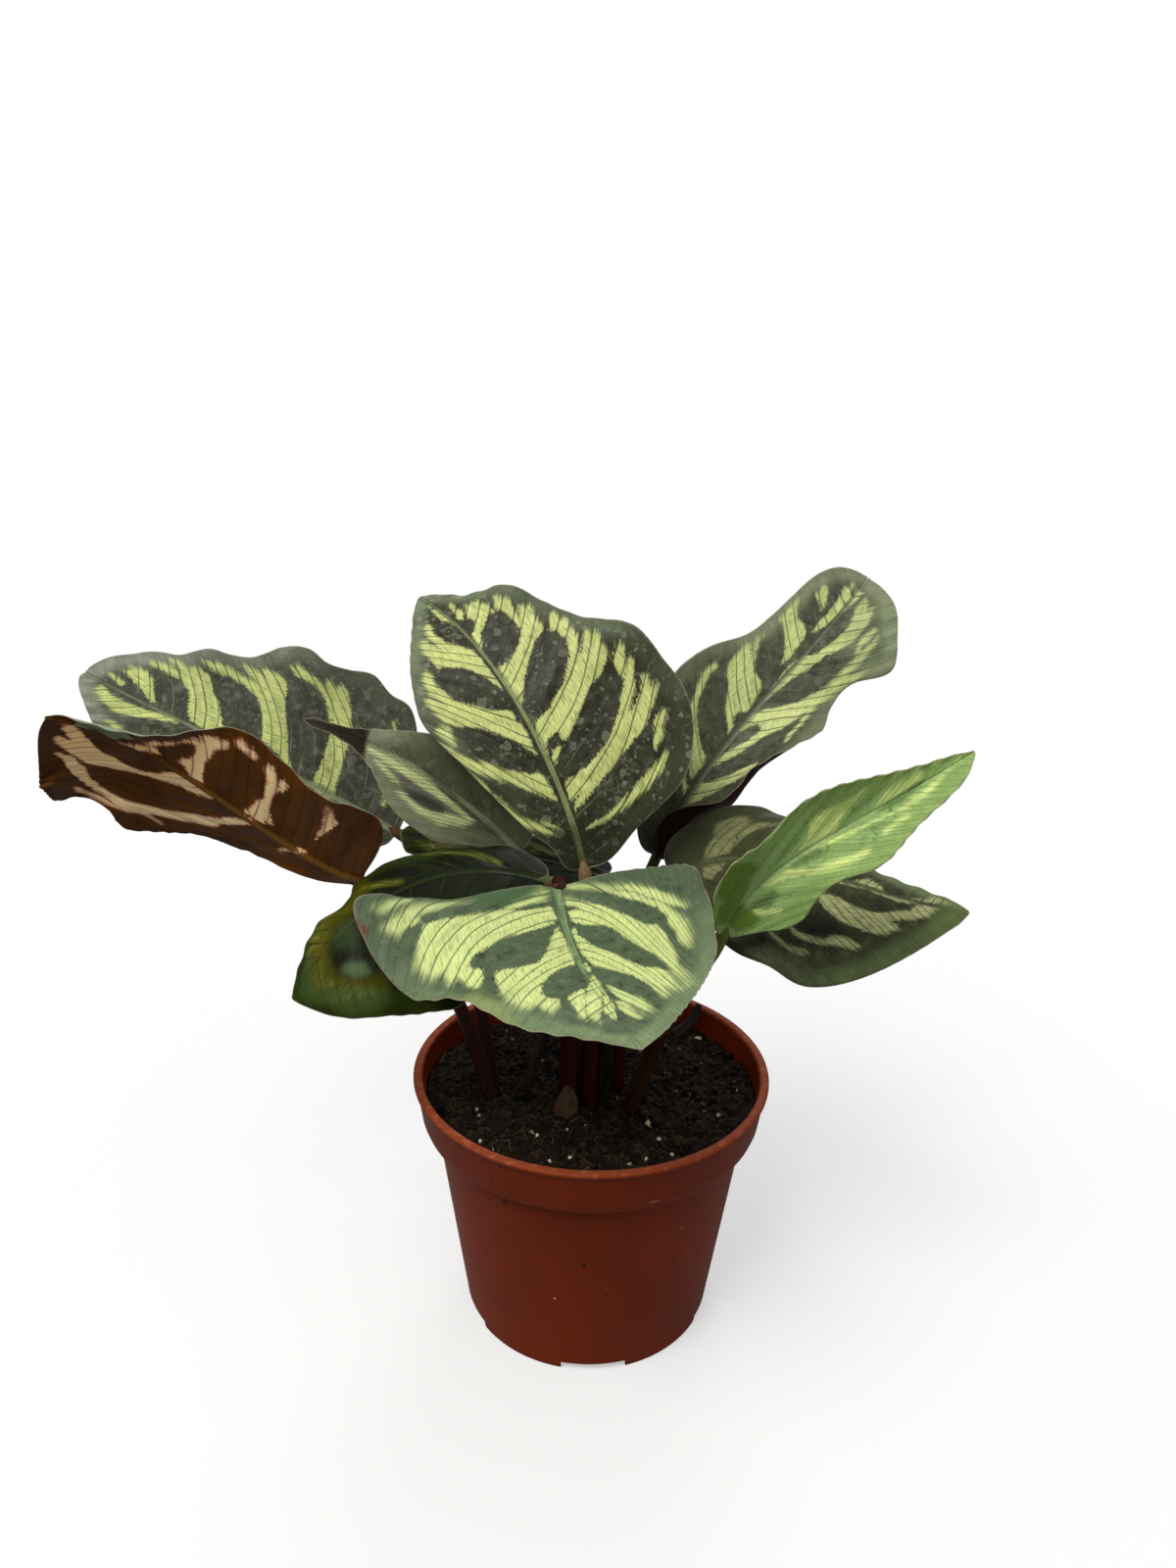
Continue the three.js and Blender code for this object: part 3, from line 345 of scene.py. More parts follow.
        [(12.5, -1.2), (14, -3.4), (17, -6), (21, -7.8), (24, -8.2), (22.5, -6.6), (19.5, -4.4),
         (17.2, -1.6)],
        [(23.5, -0.8), (25.5, -3), (29, -5.6), (33, -7.6), (37, -8.4), (35.5, -6.6), (32, -4.6),
         (29.5, -2.4), (28.5, -0.8)],
        [(35, -0.8), (37.5, -2.8), (41, -4.8), (45, -6.6), (48, -7), (46, -5.4), (43, -3.4),
         (40, -1)],
        [(5, 3, 0.3), (5.6, 8, 0.45), (7.5, 13, 0.5), (10.5, 17.5, 0.3)],
    ],
    "leaf_left_turned": [
        [(20.3, 0.8), (21.7, 2.9), (23.2, 5.8), (23.8, 8), (25.7, 10), (28.2, 12), (30.7, 13.7),
         (33.2, 15.8), (36, 17.5), (40.7, 18.3), (43.2, 19.5), (45.3, 19.1), (47.3, 17.5),
         (49.8, 15.4), (52.8, 13.3), (54.6, 11.6), (53.2, 11.2), (50.7, 11.6), (48.6, 12.5),
         (47.3, 14.1), (46.1, 16.2), (43.2, 17.5), (40.7, 17.5), (37.8, 15.8), (34.8, 14.1),
         (31.9, 12.5), (29.8, 10.8), (27.8, 9.1), (26.1, 7), (24.4, 5), (23.2, 2.9), (21.7, 1.2)],
        [(29.8, 16.2), (32.3, 16), (34.8, 16.6), (37.8, 17.9), (40.3, 19.5), (42.3, 21.2),
         (44, 22.2), (46.1, 22.5), (47.3, 21.2), (47.8, 20.4), (45.7, 21.2), (43.6, 21.2),
         (41.5, 19.9), (39, 18.3), (36.5, 17), (34, 16), (30.7, 15.8)],
        [(28.2, 1.6), (30.3, 2.9), (32.8, 3.7), (35.3, 5.2), (37.8, 6.6), (40.3, 8.3), (42.8, 10),
         (45.3, 11), (48.2, 11.2), (50.3, 10.8), (53.2, 9.5), (54.4, 8.3), (54.8, 6.6),
         (54.2, 5.4), (51.5, 6.2), (53.2, 3.3), (53.2, 1.2), (51.9, 0.8), (50.7, 2), (49.4, 4.1),
         (48.2, 5.4), (45.7, 6.6), (43.2, 7), (40.7, 6.6), (38.2, 5.4), (36.5, 3.7), (35.3, 1.6),
         (34.4, 0.6), (31.5, 0.8), (27.8, 1)],
        [(10.5, -0.9), (12.3, 0.8), (13.8, 2.9), (13.6, 2.2), (11.5, -0.9)],
        [(13.4, -11.7), (13.6, -12.6), (12.8, -12.3), (11.7, -11.1), (10.3, -8.6), (10.4, -7.7),
         (10.7, -4.6), (11.6, -7.9)],
        [(11, -10.4), (10, -10.4), (10.2, -9.3)],
        [(22.4, -2), (22.6, -4.9), (22.1, -5.7), (20.4, -3.5), (19.1, -1.3), (20.9, -0.8),
         (21.8, -1.1)],
        [(22.9, -1.4), (22, -1.2), (22.3, -0.8)],
        [(25.5, -11.3), (25.3, -11.8), (24.3, -11.5), (22.3, -10.2), (21.4, -8.9), (21.6, -7.5),
         (20.3, -4.5), (18.1, -2), (18.4, -1.6), (19.6, -2.4), (22, -5.9), (23.9, -9.5)],
        [(22.3, -11), (21.6, -11.1), (21, -10.6), (21, -9.5), (22.1, -10.1)],
        [(31.6, -11.8), (31.1, -12.4), (27.6, -11.5), (28.1, -11.1), (31.1, -11.2)],
        [(30.7, -0.7), (33.2, -0.9), (34.6, -1.9), (35.7, -2.1), (35.5, -3.2), (34.8, -3.4),
         (34.6, -5.5), (35.3, -7.1), (36.9, -7.1), (36.5, -8.2), (35.3, -8), (35.7, -9.6),
         (34, -10.3), (32.3, -10.5), (32.1, -9.6), (33.2, -8.4), (32.8, -6.3), (32.8, -4.6),
         (31.9, -2.6)],
        [(38.6, -1.1), (41.1, -0.5), (43.2, 0.8), (44.6, 1), (42.8, -0.3), (40.7, -1.3),
         (41.3, -2.1), (40.3, -3.4), (39, -4.6), (37.3, -6.7), (38.2, -5), (39.4, -3.4),
         (40.3, -1.9)],
    ],
    "leaf_small": [
        [(33.3, -0.6), (28.4, 0.2), (24.3, 0.4), (17.8, -1), (10.4, -1.4), (11.2, -2.1),
         (16.4, -2.3), (25.2, -2.1), (31.8, -1.4)],
        [(30.6, -2.2), (29.1, -2.2), (27.5, -2.9), (25.3, -3.3), (25.3, -3.8), (27, -3.7),
         (28.9, -3.2)],
        [(25.2, -5.1), (23.9, -4.9), (19.7, -5.1), (17.9, -4.8), (13.1, -2.6), (10.4, -1.8),
         (11.3, -3.3), (15.3, -5.8), (19.9, -6.3), (23.8, -5.6)],
    ],
    "leaf_right_back": [
        [(11.5, 0.6), (13.2, 1.9), (15.3, 2.9), (16.9, 4), (19, 5.2), (21.1, 6.7), (22.8, 7.9),
         (24.4, 8.8), (25.7, 8.3), (24.4, 7.3), (23.2, 6), (21.1, 4.8), (19, 3.1), (17.3, 1.9),
         (16.5, 0.6), (14, 0.4)],
        [(20.3, 0.4), (21.5, 1.3), (23.2, 2.1), (24.8, 2.9), (27.3, 3.8), (29.8, 4.4), (31.9, 5.2),
         (33.6, 6.3), (36.1, 6.9), (39, 7.5), (42.3, 8.3), (46.1, 9.4), (50.3, 10.4), (52.8, 10.6),
         (50.3, 9.4), (49, 8.6), (51.9, 8.8), (56.5, 8.8), (58.2, 8.3), (53.2, 7.5), (49, 7.3),
         (45.7, 7.1), (42.8, 6.3), (39.8, 5.2), (37.8, 4), (35.7, 2.7), (34.4, 1.3), (32.8, 0.4),
         (29.8, 0.2), (28.2, 0.4), (29.8, 1), (31.5, 1.9), (31.5, 3.1), (29.8, 3.3), (27.8, 2.9),
         (25.7, 1.9), (23.2, 0.8)],
        [(52.8, 7.3), (54.8, 7.1), (59, 7.3), (59, 6.7), (56.5, 6), (54.4, 6.3)],
        [(31.5, 9.8), (34.4, 9), (37.3, 8.3), (40.3, 7.9), (39, 7.5), (35.7, 8.1), (32.3, 8.8)],
        [(35.7, 0.2), (38.6, 0.6), (42.3, 1.3), (45.7, 2.3), (49.4, 3.1), (51.9, 4.2), (54.8, 5.2),
         (59, 5.2), (60.7, 4.8), (62.1, 4.2), (60.7, 3.8), (62.3, 2.7), (62.3, 1.9), (59.8, 1.7),
         (58.6, 2.3), (56.5, 2.9), (53.2, 2.7), (50.3, 2.1), (47.8, 1.3), (46.9, 0.2),
         (44.8, -0.6), (40.7, -0.6), (37.8, -0.2)],
        [(16.1, -1.5), (17.8, -3.1), (19.8, -4.8), (22.3, -6.9), (24, -8.5), (26.1, -9.8),
         (28.2, -10.6), (30.7, -11.5), (31.9, -12.1), (34.8, -11.5), (34.4, -10.6), (32.3, -11),
         (30.3, -10.2), (27.3, -9.4), (25.3, -7.9), (23.2, -5.6), (21.5, -3.5), (20.9, -1.9),
         (19, -1.2)],
        [(12.8, -1), (14.5, -2.4), (15.8, -2.8), (14.5, -1.3)],
        [(26.7, -1.2), (28.2, -2.5), (29.8, -4.4), (32.3, -6), (34, -7.3), (34.4, -8.5),
         (36.5, -9.4), (40.7, -9.6), (41.5, -8.7), (40.3, -7.7), (43.2, -8.5), (44.4, -8.3),
         (41.5, -7.3), (39.4, -6), (38.2, -4.8), (38, -3.1), (36.9, -1.9), (34.8, -1.5),
         (32.3, -1), (31.3, -1.5), (31.7, -2.5), (29.8, -2.3), (28.2, -1.2)],
        [(42.8, -1.9), (45.3, -3.3), (47.3, -5), (48.6, -6.7), (48.6, -7.9), (50.7, -7.9),
         (54.4, -7.7), (52.3, -6.9), (51.1, -5.6), (51.1, -4), (50.3, -2.5), (48.2, -2.1),
         (45.3, -1.7)],
        [(51.1, -1.7), (53.6, -0.6), (56.5, -0.2), (59.4, 0.6), (62.8, 1), (62.8, -0.2),
         (60.7, -0.4), (63.2, -1.5), (61.5, -2.3), (57.8, -1.7), (54.4, -1.9)],
        [(55.3, -2.9), (57.3, -3.5), (59.8, -5), (59, -5.6), (56.9, -5.6), (56.5, -4.4)],
    ],
    "leaf_young": [
        [(14.9, 0.1), (18.9, -0.5), (21.1, -1.4), (22.8, -2.2), (24.2, -3.8), (25.7, -4.3),
         (32.2, -3.8), (34.1, -3.9), (29.7, -2.7), (25.3, 0.1), (23.8, 0.5)],
        [(23, 0.7), (26.3, 0.7), (35.6, 1.7), (40.6, 1.1), (47.3, -0.5), (41.5, 1.7), (39.4, 2),
         (24.8, 1.1)],
        [(32.6, -0.1), (36.1, -1.6), (37.9, -1.9), (39.8, -1.6), (42, -1.8), (41, -0.8),
         (36.5, -0.2)],
        [(10.5, 0), (13.6, 0.3), (15.9, 0.8), (18, 1.7), (20.1, 3.1), (22.9, 3.4), (27.8, 4.3),
         (30.1, 4.4), (29.4, 5.1), (27.4, 5.3), (22.3, 4.5), (19.7, 3.7), (16.7, 2.3),
         (11.4, 0.8)],
        [(32.8, 3.3), (37.2, 2.8), (37.4, 3.3), (32.8, 3.8)],
        [(6.6, 1.8), (8.1, 3.4), (10.5, 4.8), (9.6, 4.9), (7.4, 3.5), (6.1, 2.2)],
    ],
    "leaf_right_low": [
        [(7.9, -8.8), (8.9, -9.5), (12, -10.2), (12.9, -9.8), (12.7, -8.4), (11.2, -5.6),
         (10.7, -3), (9.9, -1.4), (6.3, -0.6), (6.4, -2.6), (7.8, -6)],
        [(12, -6.5), (13.5, -8.5), (15.4, -9.5), (17.5, -9.9), (15.5, -8.3), (12.6, -5.7),
         (11, -3)],
        [(5.9, -0.4), (8.1, -0.1), (9.6, 0.5), (8.9, 1.8), (7.1, 3.3), (5.4, 2.8)],
        [(25.8, 5), (26.5, 3.7), (28, 3.5), (31.8, 4.8), (34.2, 4.8), (37, 3.9), (40.8, 2.2),
         (41.9, 0.8), (43.7, 0), (45.6, 0), (43.7, 2.4), (37.3, 5.4), (39, 5.6), (39.4, 6.2),
         (37.5, 7.1), (37.6, 7.7), (35.6, 8.3), (29.9, 7.9), (26.9, 6.4)],
        [(28.2, 0.8), (31.2, -0.6), (33.5, -2), (35.1, -1.6), (36.8, 0.3), (39.2, 0.1), (43.7, -1),
         (44.8, -2.3), (46, -1.8), (47.7, -1.4), (40.4, 0.7), (38, 1), (33.4, 0.4)],
        [(21.9, 11.3), (24, 11.7), (28.3, 11.7), (28.7, 10.9), (29.8, 10.3), (32.2, 10.5),
         (33.7, 11), (33.3, 11.7), (29.6, 12), (27.8, 12.5), (23.5, 12.5)],
        [(18.6, 12.7), (22.2, 14.1), (26.1, 14.4), (25, 14.9), (23.1, 14.8), (20.9, 14.3),
         (19.4, 13.5)],
    ],
    "leaf_left_low": [
        [(30, 3, 0.7), (35, 5.5, 1.4), (40, 2, 1.6), (44, -3, 1.4), (42, -7, 1), (39, -10, 0.5)],
        [(24, 2, 0.4), (28, 5, 0.7), (33, 8, 0.3)],
        [(8, 2, 0.3), (12, 5, 0.5), (17, 7.5, 0.3)],
    ],
    "leaf_hidden": [
        [(28, -0.6), (31, -2.2), (35, -2.6), (37, -1.4), (33, -0.8)],
        [(12, 1.2), (15, 2.6), (19, 3), (16, 1.2)],
    ],
}

# Colours of a blade: dark blotches, margin, its lighter end and edges (the blade's own lighter
# tip with a painted sheen over it), pale windows, midrib, underside and its windows, and the
# midrib's end at the stalk (neck) where that differs. spots: how many dried drops it carries;
# gloss: how shiny it is; soft: how gently a window's border fades, and fringe: how much more
# gently near the blade's edge; hatch: how plainly the fine cross lines show; lines: spacing of
# the vein lines; veined: how plainly they cross a window.
USUAL_TONE = dict(under="#4A1A10", window="#6B3A2C", spots=0.0, gloss=0.14, soft=0.12, fringe=0.35,
                  veined=0.75)
TONES = {
    "centre": dict(dark="#302E22", margin="#363C28", bloom_and_sheen="#6E785E", pale="#C8D080", rib="#8A9462",
                   neck="#8A7044", spots=1.0, gloss=0.1, soft=0.08, hatch=0.3, lines=2.4),
    "front": dict(dark="#4C5A42", margin="#4C5A42", bloom_and_sheen="#74865F", pale="#CCD88A", rib="#7A9064",
                  under="#5A2A14", spots=0.3, gloss=0.1, fringe=1.1, hatch=0.14, lines=2.3),
    "left": dict(dark="#48483C", margin="#4A5240", bloom_and_sheen="#959A88", pale="#CCD682", rib="#8A9472",
                 spots=0.7, soft=0.1, hatch=0.24, lines=2.0),
    "small": dict(dark="#56583F", margin="#666A50", bloom_and_sheen="#8E9278", pale="#C4CC8E", rib="#8A9470",
                  spots=0.4, soft=0.1, hatch=0.2, lines=1.6),
    # the right leaf's near-black underside is painted shade inside its rolled base
    "right": dict(dark="#484C3C", margin="#5A6048", bloom_and_sheen="#848A6C", pale="#CDD78A", rib="#66725A",
                  under="#1E0C04", spots=0.5, gloss=0.12, hatch=0.3, lines=2.4),
    # the turned leaf's near-white window colour is painted light shining through the blade
    "turned": dict(dark="#2E342B", margin="#5F7460", bloom_and_sheen="#8C9A80", pale="#BFD06A", rib="#6A4A18",
                   under="#5C3606", window="#FFE2B4", gloss=0.08, hatch=0.2, lines=2.4),
    "young": dict(dark="#96B670", margin="#8CAC60", bloom_and_sheen="#9AB66C", pale="#ECFA9C", rib="#A8C088",
                  under="#7E8A4A", window="#A8A860", hatch=0.6, lines=1.8, veined=0.25),
    "low": dict(dark="#303020", margin="#363C28", bloom_and_sheen="#5E6C42", pale="#A4A874", rib="#465032",
                under="#1A0A04", window="#5A2E20", spots=0.2, gloss=0.08, soft=0.16, hatch=0.4,
                lines=1.8),
    # near-black colours: painted shade on the leaves that lie deep under the others
    "shaded": dict(dark="#0C1006", margin="#141A08", bloom_and_sheen="#303C0C", pale="#5A5E0E", rib="#222A10",
                   under="#1E0806", window="#4A2018", gloss=0.06, soft=0.9, hatch=0.0, lines=3.0),
}

# Look of each blade: tone, rows, columns of each half, and record slot.
BLADES = {
    "leaf_centre": ("centre", 170, 60, "leaf"),
    "leaf_front": ("front", 150, 66, "leaf"),
    "leaf_left_back": ("left", 170, 50, "leaf"),
    "leaf_left_turned": ("turned", 170, 56, "leaf_turned"),
    "leaf_small": ("small", 130, 26, "leaf"),
    "leaf_right_back": ("right", 170, 50, "leaf"),
    "leaf_young": ("young", 140, 28, "leaf_young"),
    "leaf_right_low": ("low", 140, 42, "leaf_dark"),
    "leaf_left_low": ("shaded", 140, 44, "leaf_dark"),
    "leaf_hidden": ("shaded", 110, 20, "leaf_dark"),
}

# How far the midrib's line lies to the side of the blade's middle, from the stalk to the tip.
RIB_SHIFT = {"leaf_front": [0.9, 1.3, 1.4, 1.3, 0.6, 0]}

# Tinted patches: outline on the flat blade, colour, strength, and how gently it fades.
PATCHES = {
    "leaf_centre": [
        # painted shade darkening the blade's base, deep inside the plant
        ([(-1, -9), (5, -8), (7, 0), (5, 8), (-1, 9)], "#1C2416", 0.55, 2.5),
    ],
    "leaf_front": [
        ([(28.2, 17.5), (30, 15.6), (32.7, 14.2), (35, 13.9), (34, 16), (32, 17.4), (30, 18.6)],
         "#86904A", 0.4, 1.8),
        ([(14.6, 32.6), (15.6, 30.8), (17.2, 30.9), (16.6, 33)], "#5A2C14", 0.95, 0.25),
        ([(1, 3), (3, 6), (6, 13), (5, 24), (3, 26), (1, 12)], "#3C5A34", 0.7, 1.5),
    ],
    "leaf_left_turned": [
        ([(51.5, 0.3), (48.6, -0.4), (45.5, 0), (43, -1.6), (44.5, -2.8), (48, -2.4), (51, -1.4)],
         "#8E9C78", 0.95, 0.3),
    ],
    "leaf_small": [
        ([(31.9, -6), (32.8, -2), (33.6, 1), (34, 6), (46, 6), (46, -6)], "#160E04", 0.97, 0.5),
        ([(24.1, -4.1), (22.2, -3.3), (20.2, -2.9), (16.2, -3), (16, -3.8), (18, -4.5),
          (20.2, -4.9), (22.3, -4.7)],
         "#34382E", 0.8, 0.6),
        ([(23.4, 1.2), (19.1, 1), (13.9, -0.5), (10.6, -0.7), (7.1, -0.4), (4.8, -0.3), (7.6, -1.1),
          (15.7, -1), (19, -0.4)],
         "#463E38", 0.6, 0.6),
        ([(27, -2.6), (21, -2.4), (16, -2.4), (12, -2.1), (16, -2.8), (21, -3), (25, -3.6)],
         "#66625C", 0.7, 0.5),
    ],
    "leaf_young": [
        ([(13.1, -9.4), (14, -4.7), (12.9, -2.9), (11.6, -3.3), (8.9, -1.7), (5.9, -1.3),
          (5.9, 3.3), (3.9, 3.1), (1.6, 1.4), (2.7, -4), (5.4, -5.3), (6.5, -4.2), (7.7, -7.8),
          (10.9, -9.5)],
         "#5E7E22", 0.85, 0.8),
        ([(33.2, 0.4), (35, -0.1), (40.3, -0.6), (41.5, -0.3), (39.3, 0.4), (37, 0.7)],
         "#4E6A32", 0.7, 0.4),
        ([(17.1, 0.8), (18.8, 0.6), (22.7, 1.2), (22.3, 1.9), (17.5, 1.3)], "#4E6438", 0.6, 0.7),
        ([(6.5, 1.2), (11.9, 1.9), (12, 2.7), (8.8, 2.9)], "#4A6030", 0.6, 0.8),
    ],
    "leaf_right_back": [
        ([(52, 5), (60, 2), (66, 6), (60, 14), (52, 13)], "#8C9A72", 0.3, 3.0),
    ],
    "leaf_left_low": [
        ([(40.5, 1.7), (43.4, -1.8), (43.8, -3.5), (41.9, -6.8), (37.6, -11.7), (41.4, -7.7),
          (46.1, -5), (47, -2.9), (46.2, -0.7), (44, 1.1), (41.8, 1.9)],
         "#32441A", 0.85, 0.8),
        ([(27.9, 7.8), (34.9, 6.2), (40.5, 1.6), (43.1, -1.9), (43.6, -3.4), (41.7, -6.7),
          (37.2, -11.6), (36.4, -11.1), (40.1, -6.8), (40.9, -5.2), (40.7, -2.8), (39.7, -0.8),
          (38.2, 0.8), (36.2, 1.6), (31.8, 2.1), (28.1, 4.1)],
         "#403F06", 0.8, 1.8),
        ([(35.3, 0.9), (33.3, 0.4), (34.2, -1.4), (36, -3.4), (37.6, -1.6), (36.8, 0.3)],
         "#3C4E2C", 0.45, 1.8),
        ([(39, -5), (36.9, -7), (37.3, -8.4), (37.8, -8.3), (39.3, -6.8), (39.6, -5.4)],
         "#5C724A", 0.5, 1.0),
        ([(44.3, -5.9), (41.4, -7.7), (37.9, -11.9), (38.5, -12.3), (42.3, -10.7), (44.4, -8.6),
          (45.1, -6.7)],
         "#4A5C30", 0.45, 1.2),
    ],
    "leaf_right_low": [
        ([(22.7, 8.6), (25.7, 8.1), (28.9, 8.7), (30.2, 9.6), (29.2, 10.5), (26.3, 11.1),
          (23.7, 10.6)],
         "#12120A", 0.7, 1.2),
        ([(44, 4), (45.6, -1), (48, -2.4), (50.2, -0.7), (49.8, 1), (46, 5)], "#5E7040", 0.5, 1.5),
        ([(3, -11), (14, -12), (18, -11), (16, -4), (15, 4), (9, 8), (3, 6)], "#3A3C22", 0.6, 1.5),
    ],
}

# The stalks: foot in the soil, how far they head straight up, how long they line up with
# the blade, and their radius at the foot and at the blade, as in the solids.
STALK_FOOT_Z = 31
STALK_SIDES = 20
TAPER_ROWS = 8                  # rings of the tapered end under the blade
STALKS = {
    "leaf_centre": dict(foot=(-0.5, -8.3), up=30, reach=14, radius=(1.35, 1.1), tone="deep",
                        neck="#8A7048"),
    "leaf_front": dict(foot=(-3.5, -8.4), up=36, reach=4, radius=(1.3, 1.05), tone="red",
                       neck="#2A120A"),
    "leaf_left_low": dict(foot=(-4.5, -5.4), up=30, reach=5, radius=(1.2, 1), tone="olive"),
    "leaf_small": dict(foot=(-1.8, -5.2), up=24, reach=12, radius=(1.1, 0.9), tone="red"),
    "leaf_hidden": dict(foot=(0.9, -5.6), up=24, reach=8, radius=(1, 0.9), tone="olive"),
    "leaf_left_turned": dict(foot=(-16.3, -5.8), up=20, reach=12, radius=(1.3, 1.1), tone="maroon"),
    "leaf_left_back": dict(foot=(-16.6, -2.9), up=20, reach=14, radius=(1.2, 1), tone="maroon"),
    "leaf_right_back": dict(foot=(1.9, -1.6), up=24, reach=14, radius=(1.2, 1), tone="olive"),
    "leaf_right_low": dict(foot=(4.6, -2.4), up=24, reach=12, radius=(1.2, 1), tone="red"),
    "leaf_young": dict(foot=(5.6, -7.6), up=18, reach=12, radius=(1.4, 1.1), tone="brown"),
}
BLADE_GAP = 0.65

STALK_TONES = {
    "deep": ("#3A0C06", "#230603", "#4A2414"),
    "red": ("#40140A", "#280A05", "#5A3A22"),
    "maroon": ("#3E1C0E", "#281006", "#5A3E22"),
    "olive": ("#2C1C0C", "#1C1006", "#5A5A34"),
    "brown": ("#46280F", "#2A1406", "#6E7A3A"),
}

# Dried strips: spine, half-widths along it, the way the outside looks, how far each half bends
# round in degrees, record slot, and the light and dark colour.
STRIPS = {
    "dry_sheath_front": dict(
        spine=[(-4.1, -11.1, 40), (-4.5, -11.6, 43.5), (-4.2, -11.6, 46), (-3.4, -11.2, 48.4)],
        half=[1.2, 2.1, 1.9, 0.6], face=(-0.2, -1, 0.1), cup=50, slot="dry_sheath",
        colours=("#5C4022", "#2A1A0C"),
    ),
    "dry_sheath_back": dict(
        spine=[(-11.8, -0.6, 38), (-11.2, -0.9, 44), (-9.2, -1.8, 50), (-6.6, -2.6, 57)],
        half=[0.9, 1.1, 1, 0.5], face=(-0.5, -1, 0.2), cup=60, slot="dry_sheath",
        colours=("#463826", "#1E150C"),
    ),
    "dry_scrap": dict(
        spine=[(15.5, 17.2, 42.4), (19, 18.6, 43.4), (20.2, 19.2, 45.6), (20.4, 19.4, 47.6)],
        half=[0.9, 0.9, 0.8, 0.5], face=(-0.6, -0.8, 0.4), cup=20, slot="dry_scrap",
        colours=("#1A1612", "#0E0C0A"),
    ),
}

# Pale grains on the peat: place and radius.
GRAINS = [
    (9.6, -12.4, 0.75), (9.9, -13.4, 0.45), (-9.6, -16.5, 0.5), (-8.5, -18, 0.4),
    (-17.5, -19.9, 0.4), (-19.2, -8.9, 0.4), (-18.5, -12.2, 0.35), (13.7, 13.9, 0.6),
    (19.3, -5.7, 0.5), (21.5, -11.1, 0.4), (-6.3, -23.8, 0.45), (-3, -22.9, 0.5),
    (6.3, -23.2, 0.7), (9.2, -22.9, 0.6), (13.1, -21, 0.4), (11.2, -18, 0.4),
    (20.2, 16.7, 0.6),
]


# ---------------------------------------------------------------- mesh helpers

def unit(a):
    return a / np.linalg.norm(a, axis=-1, keepdims=True)


def smoothstep(low, high, x):
    t = np.clip((x - low) / (high - low), 0, 1)
    return t * t * (3 - 2 * t)


def along(values, s):
    """Smooth curve through evenly spaced values."""
    values = np.asarray(values, float)
    last = len(values) - 1
    x = np.clip(s, 0, 1) * last
    i = np.minimum(x.astype(int), last - 1)
    f = x - i
    b = values[i]
    c = values[i + 1]
    a = np.where(i > 0, values[i - 1], 2 * b - c)
    d = np.where(i + 2 <= last, values[np.minimum(i + 2, last)], 2 * c - b)
    return b + 0.5 * f * (c - a + f * (2 * a - 5 * b + 4 * c - d + f * (3 * (b - c) + d - a)))


def between(start, end, share):
    return start + (end - start) * share


def round_angles(sides):
    return np.linspace(0, 2 * np.pi, sides, endpoint=False)


def arc_length(path):
    """How far along a path each of its points is."""
    steps = np.linalg.norm(np.diff(path, axis=0), axis=1)
    return np.concatenate([[0], np.cumsum(steps)])


def bezier(points, s):
    """Places and headings along a cubic Bezier curve."""
    p = np.asarray(points, float)
    s = np.asarray(s, float)[..., None]
    r = 1 - s
    place = r**3 * p[0] + 3 * r * r * s * p[1] + 3 * r * s * s * p[2] + s**3 * p[3]
    slope = r * r * (p[1] - p[0]) + 2 * r * s * (p[2] - p[1]) + s * s * (p[3] - p[2])
    return place, unit(slope)


def make_object(name, points, faces, materials, smooth=True, material_of=None):
    mesh = bpy.data.meshes.new(name)
    mesh.from_pydata((np.asarray(points) * MM).tolist(), [], faces)
    for material in materials:
        mesh.materials.append(material)
    if material_of is not None:
        mesh.polygons.foreach_set("material_index", np.asarray(material_of, np.int32))
    if smooth:
        mesh.shade_smooth()
    mesh.validate()
    mesh.update()
    piece = bpy.data.objects.new(name, mesh)
    bpy.context.collection.objects.link(piece)
    return piece


def set_attribute(piece, name, values):
    attribute = piece.data.attributes.new(name, "FLOAT", "POINT")
    attribute.data.foreach_set("value", np.asarray(values, np.float32).ravel())


def seat(piece, slot, *nodes):
    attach(piece, ROOT)
    if nodes:
        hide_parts(*nodes)
    return piece


def grid_faces(rows, columns, start=0, flip=False, wrap=False):
    """Quads of a grid of points, numbered row by row."""
    i = np.arange(rows - 1)[:, None]
    j = np.arange(columns if wrap else columns - 1)[None, :]
    a = start + i * columns + j
    b = start + i * columns + (j + 1) % columns
    quads = np.stack([a, b, b + columns, a + columns], -1).reshape(-1, 4)
    return (quads[:, ::-1] if flip else quads).tolist()


def border(rows, columns):
    """Numbers of the points round the edge of a grid, in order."""
    top = list(range(columns))
    right = [i * columns + columns - 1 for i in range(1, rows)]
    bottom = [(rows - 1) * columns + j for j in range(columns - 2, -1, -1)]
    left = [i * columns for i in range(rows - 2, 0, -1)]
    return top + right + bottom + left


def thin_sheet(upper, lower):
    """Points of a thin sheet, and the faces of its upper side, its underside and its rim."""
    rows, columns = upper.shape[:2]
    count = rows * columns
    ring = border(rows, columns)
    rim = [[a + count, b + count, b, a] for a, b in zip(ring, ring[1:] + ring[:1])]
    faces = [grid_faces(rows, columns), grid_faces(rows, columns, count, flip=True), rim]
    return np.vstack([upper.reshape(-1, 3), lower.reshape(-1, 3)]), faces


def turned_faces(rows, sides, flip=False):
    """Faces of a turned shape, whose last two points are the middles of its ends."""
    faces = grid_faces(rows, sides, flip=flip, wrap=True)
    middle = rows * sides
    last_row = middle - sides
    for k in range(sides):
        a, b = k, (k + 1) % sides
        if flip:
            a, b = b, a
        faces.append([middle, b, a])
        faces.append([middle + 1, last_row + a, last_row + b])
    return faces


# ---------------------------------------------------------------- material helpers

def linear(code):
    """sRGB hex colour as linear RGBA."""
    parts = [int(code[i:i + 2], 16) / 255 for i in (1, 3, 5)]
    return [c / 12.92 if c <= 0.04045 else ((c + 0.055) / 1.055) ** 2.4 for c in parts] + [1]


